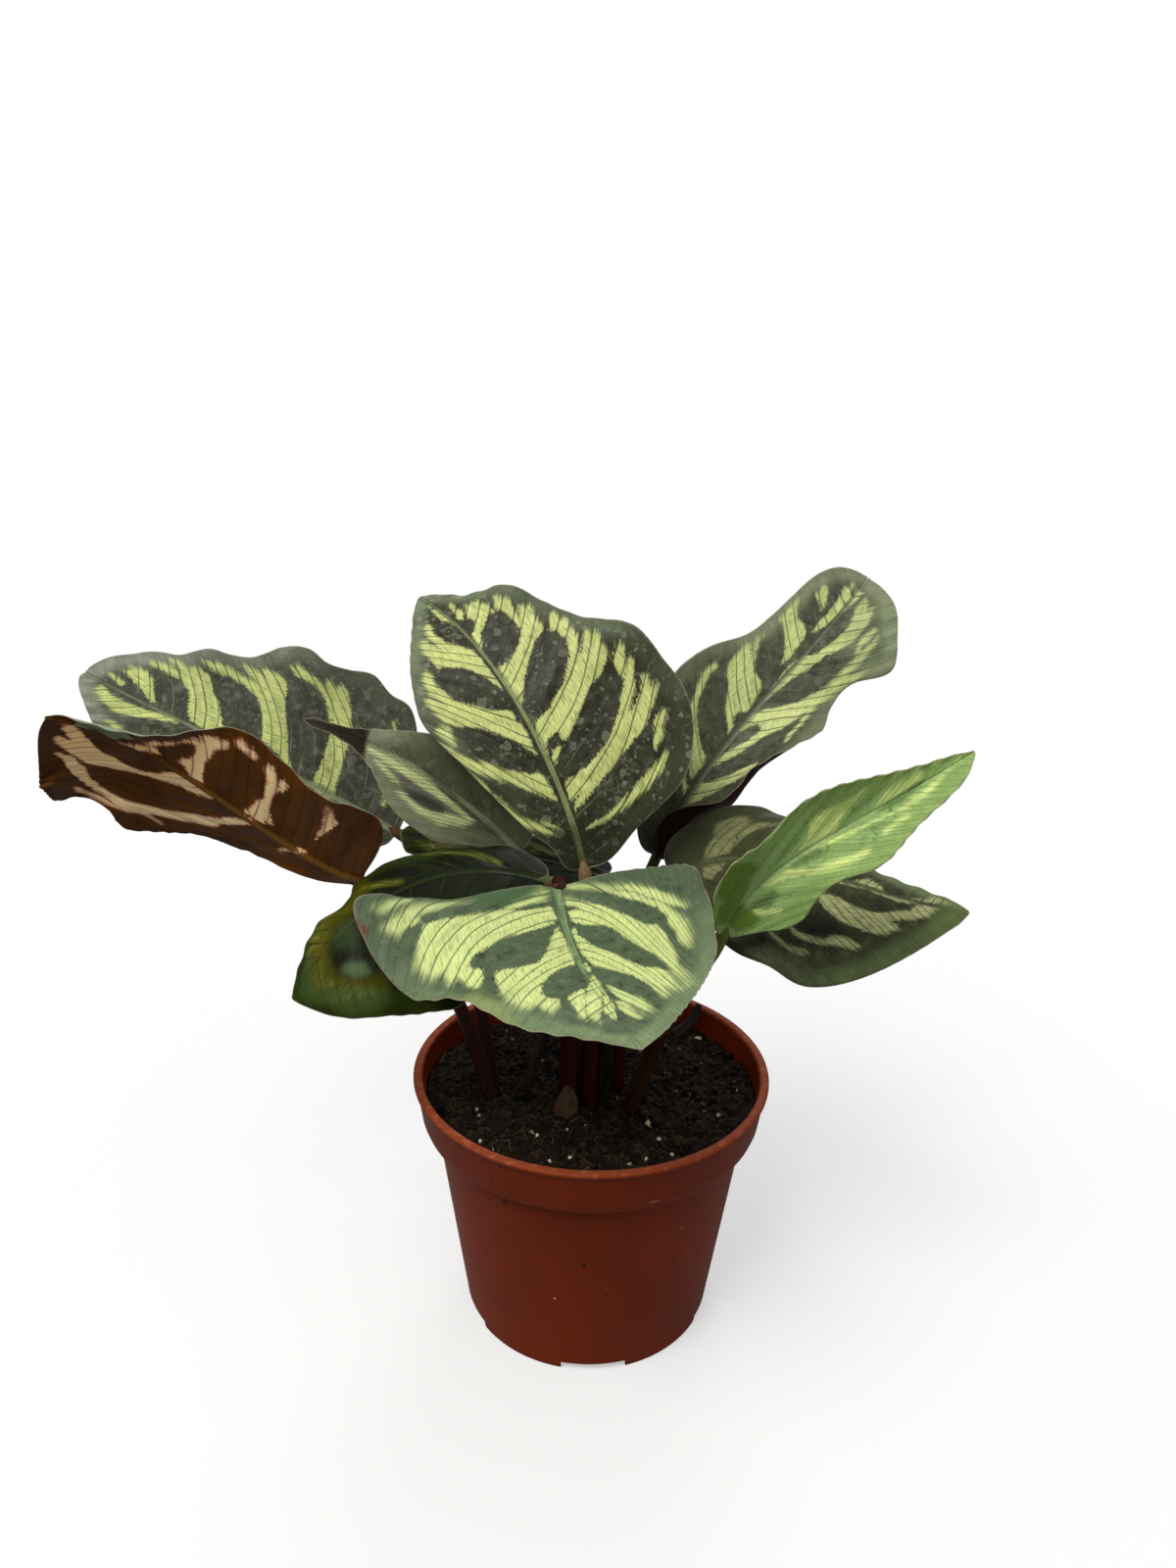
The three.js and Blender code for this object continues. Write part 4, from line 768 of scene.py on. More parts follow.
class Value:
    """What a node gives out. Sums and products of values add the nodes that work them out."""

    def __init__(self, graph, socket):
        self.graph = graph
        self.socket = socket

    def also(self, key):
        """Another output of the same node."""
        return Value(self.graph, self.socket.node.outputs[key])

    def __add__(self, other):
        return self.graph.math("ADD", self, other)

    def __sub__(self, other):
        return self.graph.math("SUBTRACT", self, other)

    def __mul__(self, other):
        return self.graph.math("MULTIPLY", self, other)

    def __truediv__(self, other):
        return self.graph.math("DIVIDE", self, other)


class Graph:
    """Short names for the nodes of a material or of the world."""

    def __init__(self, owner, output="ShaderNodeOutputMaterial"):
        owner.use_nodes = True
        self.owner = owner
        self.tree = owner.node_tree
        self.tree.nodes.clear()
        self.output = self.tree.nodes.new(output)

    def node(self, kind, inputs, output=0, **settings):
        """Adds a node, fills its inputs and gives one of its outputs."""
        node = self.tree.nodes.new(kind)
        for key, value in settings.items():
            setattr(node, key, value)
        for key, value in inputs.items():
            if isinstance(value, Value):
                self.tree.links.new(value.socket, node.inputs[key])
            else:
                node.inputs[key].default_value = linear(value) if isinstance(value, str) else value
        return Value(self, node.outputs[output])

    def math(self, operation, a, b=0.0):
        return self.node("ShaderNodeMath", {0: a, 1: b}, operation=operation)

    def vector_math(self, operation, a, b=(0, 0, 0), output=0):
        return self.node("ShaderNodeVectorMath", {0: a, 1: b}, output, operation=operation)

    def attribute(self, name):
        return self.node("ShaderNodeAttribute", {}, "Fac", attribute_name=name)

    def position(self):
        return self.node("ShaderNodeTexCoord", {}, "Object")

    def noise(self, vector, scale, detail=3.0, rough=0.55, output="Fac"):
        inputs = {"Vector": vector, "Scale": scale, "Detail": detail, "Roughness": rough}
        return self.node("ShaderNodeTexNoise", inputs, output)

    def streaks(self, x, y, z=0.0, detail=3.0):
        """Noise over coordinates of the piece's own."""
        return self.noise(self.node("ShaderNodeCombineXYZ", {0: x, 1: y, 2: z}), 1.0, detail)

    def voronoi(self, vector, scale, feature="F1"):
        inputs = {"Vector": vector, "Scale": scale}
        return self.node("ShaderNodeTexVoronoi", inputs, "Distance", feature=feature)

    def ramp(self, value, low, high, start=0.0, end=1.0):
        """Smooth step from start to end as the value goes from low to high."""
        inputs = {"Value": value, "From Min": low, "From Max": high, "To Min": start, "To Max": end}
        return self.node("ShaderNodeMapRange", inputs, interpolation_type="SMOOTHSTEP")

    def mix(self, factor, a, b):
        """Colour a where the factor is 0 and colour b where it is 1."""
        factor_in, a_in, b_in, colour_out = 0, 6, 7, 2
        inputs = {factor_in: factor, a_in: a, b_in: b}
        return self.node("ShaderNodeMix", inputs, colour_out, data_type="RGBA")

    def waves(self, value, period, low, high):
        """Ridges a period apart, from 0 between them to 1 on them."""
        return self.ramp(self.math("COSINE", value * (2 * math.pi / period)), low, high)

    def show(self, shader):
        """Links a shader to the output, and gives the material or the world back."""
        self.tree.links.new(shader.socket, self.output.inputs[0])
        return self.owner

    def finish(self, colour, roughness, relief, **sockets):
        """The material in this colour, with its relief in millimetres."""
        bump = {"Height": relief, "Distance": MM, "Strength": 1.0}
        inputs = {"Base Color": colour, "Roughness": roughness}
        inputs.update({key.replace("_", " "): value for key, value in sockets.items()})
        inputs["Normal"] = self.node("ShaderNodeBump", bump)
        return self.show(self.node("ShaderNodeBsdfPrincipled", inputs))


def new_look(name):
    return Graph(bpy.data.materials.new(name))


# ---------------------------------------------------------------- blade materials

HATCH_SPACING = 0.38        # between the fine lines across the veins
HALVES_APART = 37.0         # how far apart the two halves lie in the noise


def vein_pattern(g, spacing):
    """Patterns that follow the side veins, with the two halves of the blade kept apart."""
    u = g.attribute("vein_u")
    w = g.attribute("vein_w")
    side = g.math("GREATER_THAN", g.attribute("across"), 0.0) * HALVES_APART
    drift = g.streaks(u * 0.25, w * 0.06, side)
    bent = u + drift * 2.2
    line = g.waves(bent, spacing, 0.88, 0.99)
    finger = g.waves(bent, spacing, 0.5, 1.0)
    streak = g.streaks(u * 1.1, w * 0.14, side)
    comb = g.streaks(u * 0.6, w * 3.0, side, 1.0)
    feather = g.streaks(u * 2.4, w * 0.1, side, 1.0)
    ridges = g.waves(w + drift * 1.5, HATCH_SPACING, -0.2, 0.9)
    hatch = ridges * g.ramp(comb, 0.35, 0.6, 0.3, 1.0)
    return line, finger, streak, comb, feather, hatch


def pale_mask(g, tone, finger, feather, comb):
    """1 inside the pale windows: toothed along their sides, fading in fingers further out."""
    outer = g.ramp(g.attribute("edge"), 2.0, 7.0, 1.0, 0.0)
    ragged = (feather - 0.5) * g.ramp(outer, 0.0, 1.0, 0.3, 1.3)
    teeth = (comb - 0.5) * 1.5
    level = g.attribute("pale") + 0.1 + ragged + teeth - finger * outer * 0.3
    fade = outer * tone["fringe"] + (0.07 + tone["soft"])
    return g.ramp(level / fade, -1.0, 1.0)


def paint_patches(g, colour, patches):
    for number, (_, tint, strength, _) in enumerate(patches):
        colour = g.mix(g.attribute(f"patch_{number}") * strength, colour, tint)
    return colour


def shifted(g, place, scale, reach):
    """A place pushed about by noise, so that shapes drawn there come out uneven."""
    push = g.noise(place, scale, 2.0, 0.5, "Color")
    return g.vector_math("ADD", place, g.vector_math("MULTIPLY", push, (reach, reach, reach)))


def dried_drops(g, place):
    """Discs with a faint rim left by drops of hard water, of two sizes, and dried films."""
    bent = shifted(g, place, 700.0, 0.0012)
    crowd = g.noise(place, 110.0, 2.0)
    total = 0.0
    for scale, rarity in ((430.0, 1.0), (1000.0, 1.04)):
        cells = g.voronoi(bent, scale)
        chance = g.node("ShaderNodeSeparateColor", {0: cells.also("Color")})
        picked = g.ramp(chance + crowd, rarity, rarity + 0.05)
        within = chance.also(1) * 0.26 + 0.14 - cells
        disc = picked * g.ramp(within, 0.0, 0.04) * g.ramp(within, 0.03, 0.08, 1.0, 0.55)
        total = g.math("MAXIMUM", total, disc)
    film = g.voronoi(shifted(g, place, 260.0, 0.004), 300.0, "DISTANCE_TO_EDGE")
    film = g.ramp(film, 0.0, 0.05, 0.5, 0.0) * g.ramp(crowd, 0.54, 0.62)
    return g.math("MAXIMUM", total, film)


def blade_top(name, tone, patches):
    g = new_look(name)
    line, finger, streak, comb, feather, hatch = vein_pattern(g, tone["lines"])
    dark, margin, light = tone["dark"], tone["margin"], tone["bloom_and_sheen"]
    edge = g.attribute("edge")
    run = g.attribute("run")
    place = g.position()
    cloud = g.noise(place, 170.0, 4.0)
    broad = g.noise(place, 50.0, 2.0)
    mottle = g.noise(shifted(g, place, 300.0, 0.003), 520.0, 4.0, 0.65)
    grain = g.noise(place, 2200.0)

    # the ground: green margin, its lighter tip and painted sheen, dark blotches outside the windows,
    # dried drops
    near = g.ramp(g.attribute("pale") + streak * 1.2, -4.4, -2.2)
    blotch = near * g.ramp(edge + cloud * 3.0, 3.2, 5.4)
    # painted sheen: lighter towards the edge and the tip, over the blade's own lighter tip
    outward = g.ramp(edge - broad * 8.0, -3.5, 2.0, 1.0, 0.0)
    tipward = g.ramp(run + broad * 0.9, 0.7, 1.3, 0.06, 1.0)
    bloom_and_sheen = outward * tipward * g.ramp(cloud, 0.3, 0.65, 0.5, 1.0)
    ground = g.mix(g.ramp(cloud, 0.35, 0.7, 0.0, 0.55), margin, dark)
    ground = g.mix(bloom_and_sheen, ground, light)
    stain = g.mix(g.ramp(mottle, 0.45, 0.75, 0.0, 0.32), dark, light)
    stain = g.mix(g.ramp(mottle, 0.3, 0.46, 0.6, 0.0), stain, "#1C1C14")
    colour = g.mix(blotch * 0.92, ground, stain)
    colour = g.mix(line * g.ramp(streak, 0.5, 0.6) * 0.35, colour, light)
    colour = g.mix(g.ramp(grain, 0.35, 0.7, 0.0, 0.16), colour, "#14160E")
    if tone["spots"]:
        colour = g.mix(dried_drops(g, place) * (0.36 * tone["spots"]), colour, "#A6A892")

    # the pale windows, with fine cross lines and darker vein lines
    shade = g.mix(g.ramp(streak, 0.4, 0.8, 0.0, 0.3), tone["pale"], margin)
    shade = g.mix(hatch * tone["hatch"], shade, margin)
    shade = g.mix(g.ramp(comb, 0.5, 0.72, 0.0, 0.5), shade, margin)
    shade = g.mix(g.ramp(comb, 0.48, 0.3, 0.0, 0.35), shade, "#DCE498")
    shade = g.mix(g.ramp(mottle, 0.5, 0.75, 0.0, 0.2), shade, "#E4E8A8")
    shade = g.mix(line * tone["veined"], shade, dark)
    colour = g.mix(pale_mask(g, tone, finger, feather, comb) * 0.97, colour, shade)

    # the midrib between two dark shoulders
    rib = g.attribute("rib")
    groove = g.ramp(rib, 0.6, 1.0, 1.0, 0.0) * g.attribute("rib_shown")
    shoulder = g.ramp(rib, 0.7, 1.0) * g.ramp(rib, 1.1, 1.8, 1.0, 0.0)
    colour = g.mix(shoulder * 0.5, colour, dark)
    fibre = g.streaks(rib * 3.0, g.attribute("vein_u") * 0.25)
    ribbed = g.mix(g.ramp(fibre, 0.32, 0.55), margin, tone["rib"])
    ribbed = g.mix(g.ramp(run, 0.5, 0.95, 0.0, 0.5), ribbed, dark)
    ribbed = g.mix(g.ramp(run, 0.0, 0.12, 0.85, 0.0), ribbed, tone.get("neck", tone["rib"]))
    colour = g.mix(groove * 0.92, colour, ribbed)

    colour = paint_patches(g, colour, patches)
    # painted highlight: a pale rim along the blade's very edge
    colour = g.mix(g.ramp(edge, 0.03, 0.2, 1.0, 0.0) * 0.55, colour, "#A08E78")
    relief = line * -0.06 + hatch * -0.012 + cloud * 0.16 + mottle * 0.03
    roughness = g.ramp(cloud, 0.3, 0.7, 0.3, 0.5)
    return g.finish(colour, roughness, relief, Specular_IOR_Level=tone["gloss"])


def blade_under(name, tone, patches, windows):
    """The underside; on the turned leaf its windows show, and light comes through them."""
    g = new_look(name)
    line, finger, streak, comb, feather, hatch = vein_pattern(g, tone["lines"])
    cloud = g.noise(g.position(), 160.0, 4.0)
    mask = pale_mask(g, tone, finger, feather, comb)
    colour = g.mix(g.ramp(cloud, 0.3, 0.75, 0.0, 0.5), tone["under"], "#2A1206")
    colour = g.mix(g.ramp(streak, 0.4, 0.8, 0.0, 0.3), colour, "#5A2A10")
    colour = g.mix(line * 0.3, colour, "#1E0C04")
    if windows:
        fringe = g.ramp(g.attribute("pale") + streak, -0.15, 0.45)
        colour = g.mix(fringe * 0.75, colour, "#9C4630")
    # on the turned leaf the near-white window colour is painted light shining through the blade
    lit = g.mix(line * 0.6, tone["window"], tone["under"])
    lit = g.mix(g.ramp(streak, 0.5, 0.85, 0.0, 0.4), lit, "#B0663E")
    lit = g.mix(hatch * 0.16, lit, "#A05838")
    colour = g.mix(mask * (0.94 if windows else 0.5), colour, lit)
    if windows:
        colour = paint_patches(g, colour, patches)
    rib = g.ramp(g.attribute("rib"), 0.5, 1.1, 1.0, 0.0) * g.attribute("rib_shown")
    colour = g.mix(rib * 0.8, colour, tone["rib"] if windows else "#5A3A28")
    through = {}
    if windows:
        through = dict(Subsurface_Weight=mask * 0.9, Subsurface_Radius=(1.0, 0.8, 0.55),
                       Subsurface_Scale=0.8 * MM)
    roughness = g.ramp(cloud, 0.3, 0.7, 0.42, 0.58)
    return g.finish(colour, roughness, line * 0.05 + cloud * 0.1, Specular_IOR_Level=0.12, **through)


# ---------------------------------------------------------------- blade shapes

def half_width(leaf, half, s):
    power = between(*leaf["ends"], s)
    envelope = np.clip(np.sin(np.pi * s**0.8), 0, 1) ** power
    end = END_HALF_WIDTH * (1 - 0.7 * smoothstep(0.96, 1, s))
    return end + np.maximum(along(half["half"], s) - END_HALF_WIDTH, 0) * envelope


def lobes(half, s):
    forward = half.get("fwd", 0) * s**3 * np.sqrt(1 - s)
    return forward - half.get("back", 0) * (1 - s) ** 3 * np.sqrt(s)


def vein_offset(half, s, y):
    """How far forward of its root a side vein is, y out from the midrib."""
    slope, bend = (between(near, far, s) for near, far in zip(*half["veins"]))
    return slope * np.abs(y) + bend * y * y


def blade_middle(leaf, s, v):
    """Points of a blade's middle surface, with where they lie when it is spread flat."""
    middle, tangent = bezier(leaf["rib"], s)
    start, end = np.array(leaf["face"], float)
    face = between(start, end, s[..., None])
    normal = unit(face - (face * tangent).sum(-1, keepdims=True) * tangent)
    side = np.cross(tangent, normal)
    a = np.abs(v)
    halves = []
    for key in ("left", "right"):
        half = leaf[key]
        width = half_width(leaf, half, s)
        rise = np.radians(along(half.get("rise", USUAL_BEND), s))
        curl = np.radians(along(half.get("curl", USUAL_BEND), s))
        curl = np.where(np.abs(curl) < 1e-3, 1e-3, curl)
        out = width / curl * (np.sin(rise + curl * a) - np.sin(rise))
        up = width / curl * (np.cos(rise) - np.cos(rise + curl * a))
        up = up + along(half["lift"], s) * a**2.5 * np.clip(np.sin(np.pi * s), 0, 1) ** 0.6
        halves.append((width, out, up, lobes(half, s), vein_offset(half, s, v * width)))
    width, out, up, lobe, offset = (np.where(v < 0, left, right) for left, right in zip(*halves))
    forward = 2 * a * a * lobe
    points = (middle + side * (np.sign(v) * out)[..., None] + normal * up[..., None]
              + tangent * forward[..., None])
    fine = np.linspace(0, 1, 400)
    x = np.interp(s, fine, arc_length(bezier(leaf["rib"], fine)[0])) + forward
    return points, x, v * width, offset


def distance_to(points, path):
    """Distance of each point to a path, or to the edge of a path that has half-widths."""
    best = np.full(len(points), np.inf)
    for p, q in zip(path[:-1], path[1:]):
        d = q[:2] - p[:2]
        t = np.clip(((points - p[:2]) @ d) / max(d @ d, 1e-9), 0, 1)
        gap = np.linalg.norm(points - p[:2] - t[:, None] * d, axis=1)
        if len(p) == 3:
            gap = gap - between(p[2], q[2], t)
        best = np.minimum(best, gap)
    return best


def inside(points, outline):
    x, y = points.T
    count = np.zeros(len(points), int)
    for (x0, y0), (x1, y1) in zip(outline, np.roll(outline, -1, axis=0)):
        crosses = (y0 > y) != (y1 > y)
        if y1 != y0:
            count += crosses & (x < (x1 - x0) * (y - y0) / (y1 - y0) + x0)
    return count % 2 == 1


def window_depth(points, shapes):
    """Depth inside the pale windows, negative outside them."""
    depth = np.full(len(points), -20.0)
    for shape in shapes:
        outline = np.array(shape, float)
        if outline.shape[1] == 3:
            found = -distance_to(points, outline)
        else:
            gap = distance_to(points, np.vstack([outline, outline[:1]]))
            found = np.where(inside(points, outline), gap, -gap)
        depth = np.maximum(depth, found)
    return depth


def spread_uv(mesh, flat, rim_count):
    """Lays the upper side over the lower half of the map and the underside over the upper."""
    low = flat.min(0) - 1
    high = flat.max(0) + 1
    scale = min(0.96 / (high[0] - low[0]), 0.46 / (high[1] - low[1]))
    place = (flat - low) * scale + 0.01
    corner = np.empty(len(mesh.loops), np.int32)
    mesh.loops.foreach_get("vertex_index", corner)
    layout = np.vstack([place, place + [0, 0.5]])[corner]
    # the rim is a thin band just outside the upper side's outline
    rim = np.arange(len(mesh.loops) - 4 * rim_count, len(mesh.loops))
    rim = rim[corner[rim] >= len(flat)]
    edge = place[corner[rim] - len(flat)]
    away = edge - place.mean(0)
    layout[rim] = edge + away / np.maximum(np.linalg.norm(away, axis=1, keepdims=True), 1e-6) * 0.004
    layer = mesh.uv_layers.new(name="OFBake")
    layer.data.foreach_set("uv", layout.astype(np.float32).ravel())


def make_blade(name, seed):
    leaf = LEAVES[name]
    tone_name, rows, half_columns, slot = BLADES[name]
    tone = {**USUAL_TONE, **TONES[tone_name]}
    patches = PATCHES.get(name, [])
    even = np.linspace(0, 1, rows)
    s_line = even - 0.7 * np.sin(2 * np.pi * even) / (2 * np.pi)
    t = np.linspace(-1, 1, 2 * half_columns + 1)
    v_line = t * (0.7 + 0.3 * np.abs(t))
    s, v = np.meshgrid(s_line, v_line, indexing="ij")
    middle, x, y, offset = blade_middle(leaf, s, v)
    a = np.abs(v)

    normal = unit(np.cross(np.gradient(middle, axis=1), np.gradient(middle, axis=0)))
    vein_u = x - offset
    phase = np.random.default_rng(seed).uniform(0, 2 * np.pi, 4)
    flat = np.stack([x.ravel(), y.ravel()], -1)
    outline = border(rows, len(v_line))
    edge = distance_to(flat, flat[outline + outline[:1]][::2]).reshape(s.shape)
    free = smoothstep(0, 6, edge) * smoothstep(0, 0.25, a)
    pleat = 0.05 * np.cos(2 * np.pi * vein_u / PLEAT_SPACING + phase[0]) * free
    swell = 0.16 * np.sin(2 * np.pi * vein_u / SWELL_SPACING + phase[1] + np.sign(v)) * free
    ripple = 0.14 * np.sin(2 * np.pi * vein_u / RIPPLE_SPACING + phase[2]) * smoothstep(0.6, 1, a)
    ripple = ripple * smoothstep(0, 0.08, s) * smoothstep(0, 0.08, 1 - s)
    middle = middle + normal * (pleat + swell + ripple)[..., None]

    rib_half = between(*MIDRIB, s**0.7)
    rib_depth = between(*MIDRIB_DEPTH, s)
    across = np.abs(y - along(RIB_SHIFT.get(name, [0, 0]), s)) / rib_half
    proud = np.sqrt(np.clip(1 - across**2, 0, 1)) * rib_depth
    groove = 0.22 * np.exp(-((across / 0.55) ** 2)) - 0.1 * np.exp(-((across - 1) / 0.3) ** 2)
    thickness = between(RIM_THICKNESS, BLADE_THICKNESS, smoothstep(0, 2.2, edge))
    upper = middle + normal * (thickness / 2 - groove * rib_depth)[..., None]
    lower = middle - normal * (thickness / 2 + proud)[..., None]
    points, sides = thin_sheet(upper, lower)
    look = [
        blade_top(f"{name}_upper", tone, patches),
        blade_under(f"{name}_under", tone, patches, tone_name == "turned"),
    ]
    kinds = np.repeat([0, 1, 0], [len(faces) for faces in sides])
    piece = make_object(name.replace("leaf", "blade"), points, sum(sides, []), look, material_of=kinds)

    rib_end = (0.72, 0.5) if tone_name in ("turned", "front") else (1, 0.9)
    attributes = {
        "pale": window_depth(flat, WINDOWS[name]), "edge": edge, "across": y, "rib": across,
        "vein_u": vein_u, "vein_w": np.hypot(y, offset), "run": s,
        "rib_shown": smoothstep(*rib_end, s),
    }
    for number, (patch, _, _, fade) in enumerate(patches):
        attributes[f"patch_{number}"] = smoothstep(-fade, fade * 0.4, window_depth(flat, [patch]))
    for key, values in attributes.items():
        set_attribute(piece, key, np.tile(values.ravel(), 2))
    spread_uv(piece.data, flat, len(outline))
    return seat(piece, slot, name)


# ---------------------------------------------------------------- petioles

def tube(path, radii):
    """Points and faces of a closed tube along a path, with a radius for each point of a ring."""
    rows, sides = radii.shape
    tangent = unit(np.gradient(path, axis=0))
    normal = np.zeros_like(path)
    start = np.cross(tangent[0], [0.0, 0.0, 1.0])
    if np.linalg.norm(start) < 1e-3:
        start = np.cross(tangent[0], [1.0, 0.0, 0.0])
    normal[0] = unit(start)
    for i in range(1, rows):
        normal[i] = unit(normal[i - 1] - (normal[i - 1] @ tangent[i]) * tangent[i])
    binormal = np.cross(tangent, normal)
    angle = round_angles(sides)[None, :, None]
    ring = normal[:, None] * np.cos(angle) + binormal[:, None] * np.sin(angle)
    points = path[:, None] + ring * radii[:, :, None]
    faces = grid_faces(rows, sides, wrap=True)
    faces.append(list(range(sides))[::-1])
    faces.append([(rows - 1) * sides + k for k in range(sides)])
    return points.reshape(-1, 3), faces


def stalk_material(name, colours, neck):
    g = new_look(name)
    body, dark, light = colours
    height = g.attribute("height")
    round_at = g.attribute("round")
    streak = g.streaks(round_at * 9.0, height * 0.05)
    fine = g.streaks(round_at * 26.0, height * 0.09)
    speck = g.noise(g.position(), 900.0)
    colour = g.mix(g.ramp(streak, 0.35, 0.7), body, dark)
    colour = g.mix(g.ramp(fine, 0.55, 0.85, 0.0, 0.4), colour, light)
    colour = g.mix(g.ramp(height, 6.0, 1.0, 0.0, 0.5), colour, dark)
    colour = g.mix(g.ramp(g.attribute("neck"), 0.0, 1.0, 0.0, 0.85), colour, neck)
    roughness = g.ramp(speck, 0.3, 0.7, 0.4, 0.55)
    return g.finish(colour, roughness, fine * 0.16 + speck * 0.03, Specular_IOR_Level=0.15)


def make_petiole(leaf_name, seed):
    stalk = STALKS[leaf_name]
    rib = np.array(LEAVES[leaf_name]["rib"], float)
    heading = bezier(rib, np.array([0.0]))[1][0]
    end = rib[0] - BLADE_GAP * heading
    foot = np.array([*stalk["foot"], STALK_FOOT_Z], float)
    curve = [foot, foot + [0, 0, stalk["up"]], end - stalk["reach"] * heading, end]
    t = np.linspace(0, 1, 90)
    path = bezier(curve, t)[0]
    # the last few rings taper off into the underside of the blade, below its midrib
    onward, _ = bezier(rib, np.linspace(0.002, 0.035, TAPER_ROWS))
    low, high = stalk["radius"]
    face = np.array(LEAVES[leaf_name]["face"][0], float)
    down = -unit(face - (face @ heading) * heading)
    sink = np.linspace(0.15, 0.75, TAPER_ROWS)[:, None]
    path = np.vstack([path, onward + down * sink])
    run = np.concatenate([t * 0.94, np.linspace(0.945, 1, TAPER_ROWS)])
    radius = between(low, high, np.clip(run / 0.94, 0, 1))
    radius = radius * (1 + 0.1 * np.exp(-((run - 0.86) / 0.05) ** 2))
    radius[-TAPER_ROWS:] = np.linspace(high * 0.9, 0.4, TAPER_ROWS)
    turn = np.random.default_rng(seed).uniform(0, 6, 3)
    angle = round_angles(STALK_SIDES)
    flute = 1 + 0.035 * np.cos(3 * angle + turn[0]) + 0.02 * np.cos(7 * angle + turn[1])
    wobble = 1 + 0.02 * np.sin(run * 23 + turn[2])
    points, faces = tube(path, (radius * wobble)[:, None] * flute[None, :])
    name = leaf_name.replace("leaf", "petiole")
    tones = STALK_TONES[stalk["tone"]]
    look = stalk_material(f"{name}_skin", tones, stalk.get("neck", tones[2]))
    piece = make_object(name, points, faces, [look])
    height = arc_length(path) - (SOIL["level"] - STALK_FOOT_Z)
    set_attribute(piece, "height", np.repeat(height, STALK_SIDES))
    set_attribute(piece, "round", np.tile(np.abs(angle - np.pi), len(path)))
    set_attribute(piece, "neck", np.repeat(smoothstep(0.8, 0.9, run), STALK_SIDES))
    return seat(piece, "stalk", leaf_name.replace("leaf", "stalk"))


# ---------------------------------------------------------------- dried sheaths

def dry_material(name, colours):
    g = new_look(name)
    light, dark = colours
    streak = g.streaks(g.attribute("across") * 2.6, g.attribute("along") * 0.25, detail=4.0)
    blot = g.noise(g.position(), 500.0, 4.0)
    colour = g.mix(g.ramp(streak, 0.35, 0.7), light, dark)
    colour = g.mix(g.ramp(blot, 0.5, 0.75, 0.0, 0.6), colour, dark)
    return g.finish(colour, 0.8, streak * 0.25 + blot * 0.12)


def make_strip(name, seed):
    strip = STRIPS[name]
    rows, columns = 44, 27
    rng = np.random.default_rng(seed)
    v_line = np.linspace(-1, 1, columns)
    ragged = 0.93 + 0.07 * rng.random(columns)
    upper = np.empty((rows, columns, 3))
    lower = np.empty_like(upper)
    phase = rng.uniform(0, 6, 3)
    cup = math.radians(strip["cup"])
    face = np.array(strip["face"], float)
    for j, v in enumerate(v_line):
        s = np.linspace(0, ragged[j], rows)
        middle, tangent = bezier(strip["spine"], s)
        normal = unit(face - (tangent @ face)[:, None] * tangent)
        side = np.cross(tangent, normal)
        half = along(strip["half"], s) * (1 + 0.06 * np.sin(9 * s + phase[0] + v))
        turn = cup * v
        radius = half / cup
        out = normal * math.cos(turn) + side * math.sin(turn)
        wave = 0.1 * np.sin(5 * v + 7 * s + phase[1]) + 0.05 * np.sin(13 * v + phase[2])
        thick = 0.11 + 0.08 * (1 - abs(v))
        centre = middle - normal * radius[:, None]
        upper[:, j] = centre + out * (radius + wave + thick)[:, None]
        lower[:, j] = centre + out * (radius + wave - thick)[:, None]
    points, sides = thin_sheet(upper, lower)
    look = dry_material(name + "_skin", strip["colours"])
    piece = make_object(name + "_paper", points, sum(sides, []), [look])
    s, v = np.meshgrid(np.linspace(0, 1, rows), v_line, indexing="ij")
    set_attribute(piece, "along", np.tile(s.ravel() * 10, 2))
    set_attribute(piece, "across", np.tile(v.ravel() * 3, 2))
    return seat(piece, strip["slot"], name)


# ---------------------------------------------------------------- pot

def rounded(profile, radius, steps=4):
    """A profile with its corners rounded."""
    points = np.array(profile, float)
    out = [points[0]]
    for before, corner, after in zip(points, points[1:], points[2:]):
        into = before - corner
        onward = after - corner
        reach = min(radius, 0.4 * np.linalg.norm(into), 0.4 * np.linalg.norm(onward))
        start = corner + unit(into) * reach
        end = corner + unit(onward) * reach
        for t in np.linspace(0, 1, steps):
            out.append((1 - t) ** 2 * start + 2 * t * (1 - t) * corner + t * t * end)
    out.append(points[-1])
    return np.array(out)


def body_radius(z):
    """Outside radius of the pot's lower part at a height."""
    return between(POT["foot"], POT["body_top"], z / COLLAR_FOOT_Z)


def collar_radius(z):
    share = (z - COLLAR_FOOT_Z) / POT["collar"]
    return between(POT["collar_foot"], POT["rim"] - POT["overhang"], share)


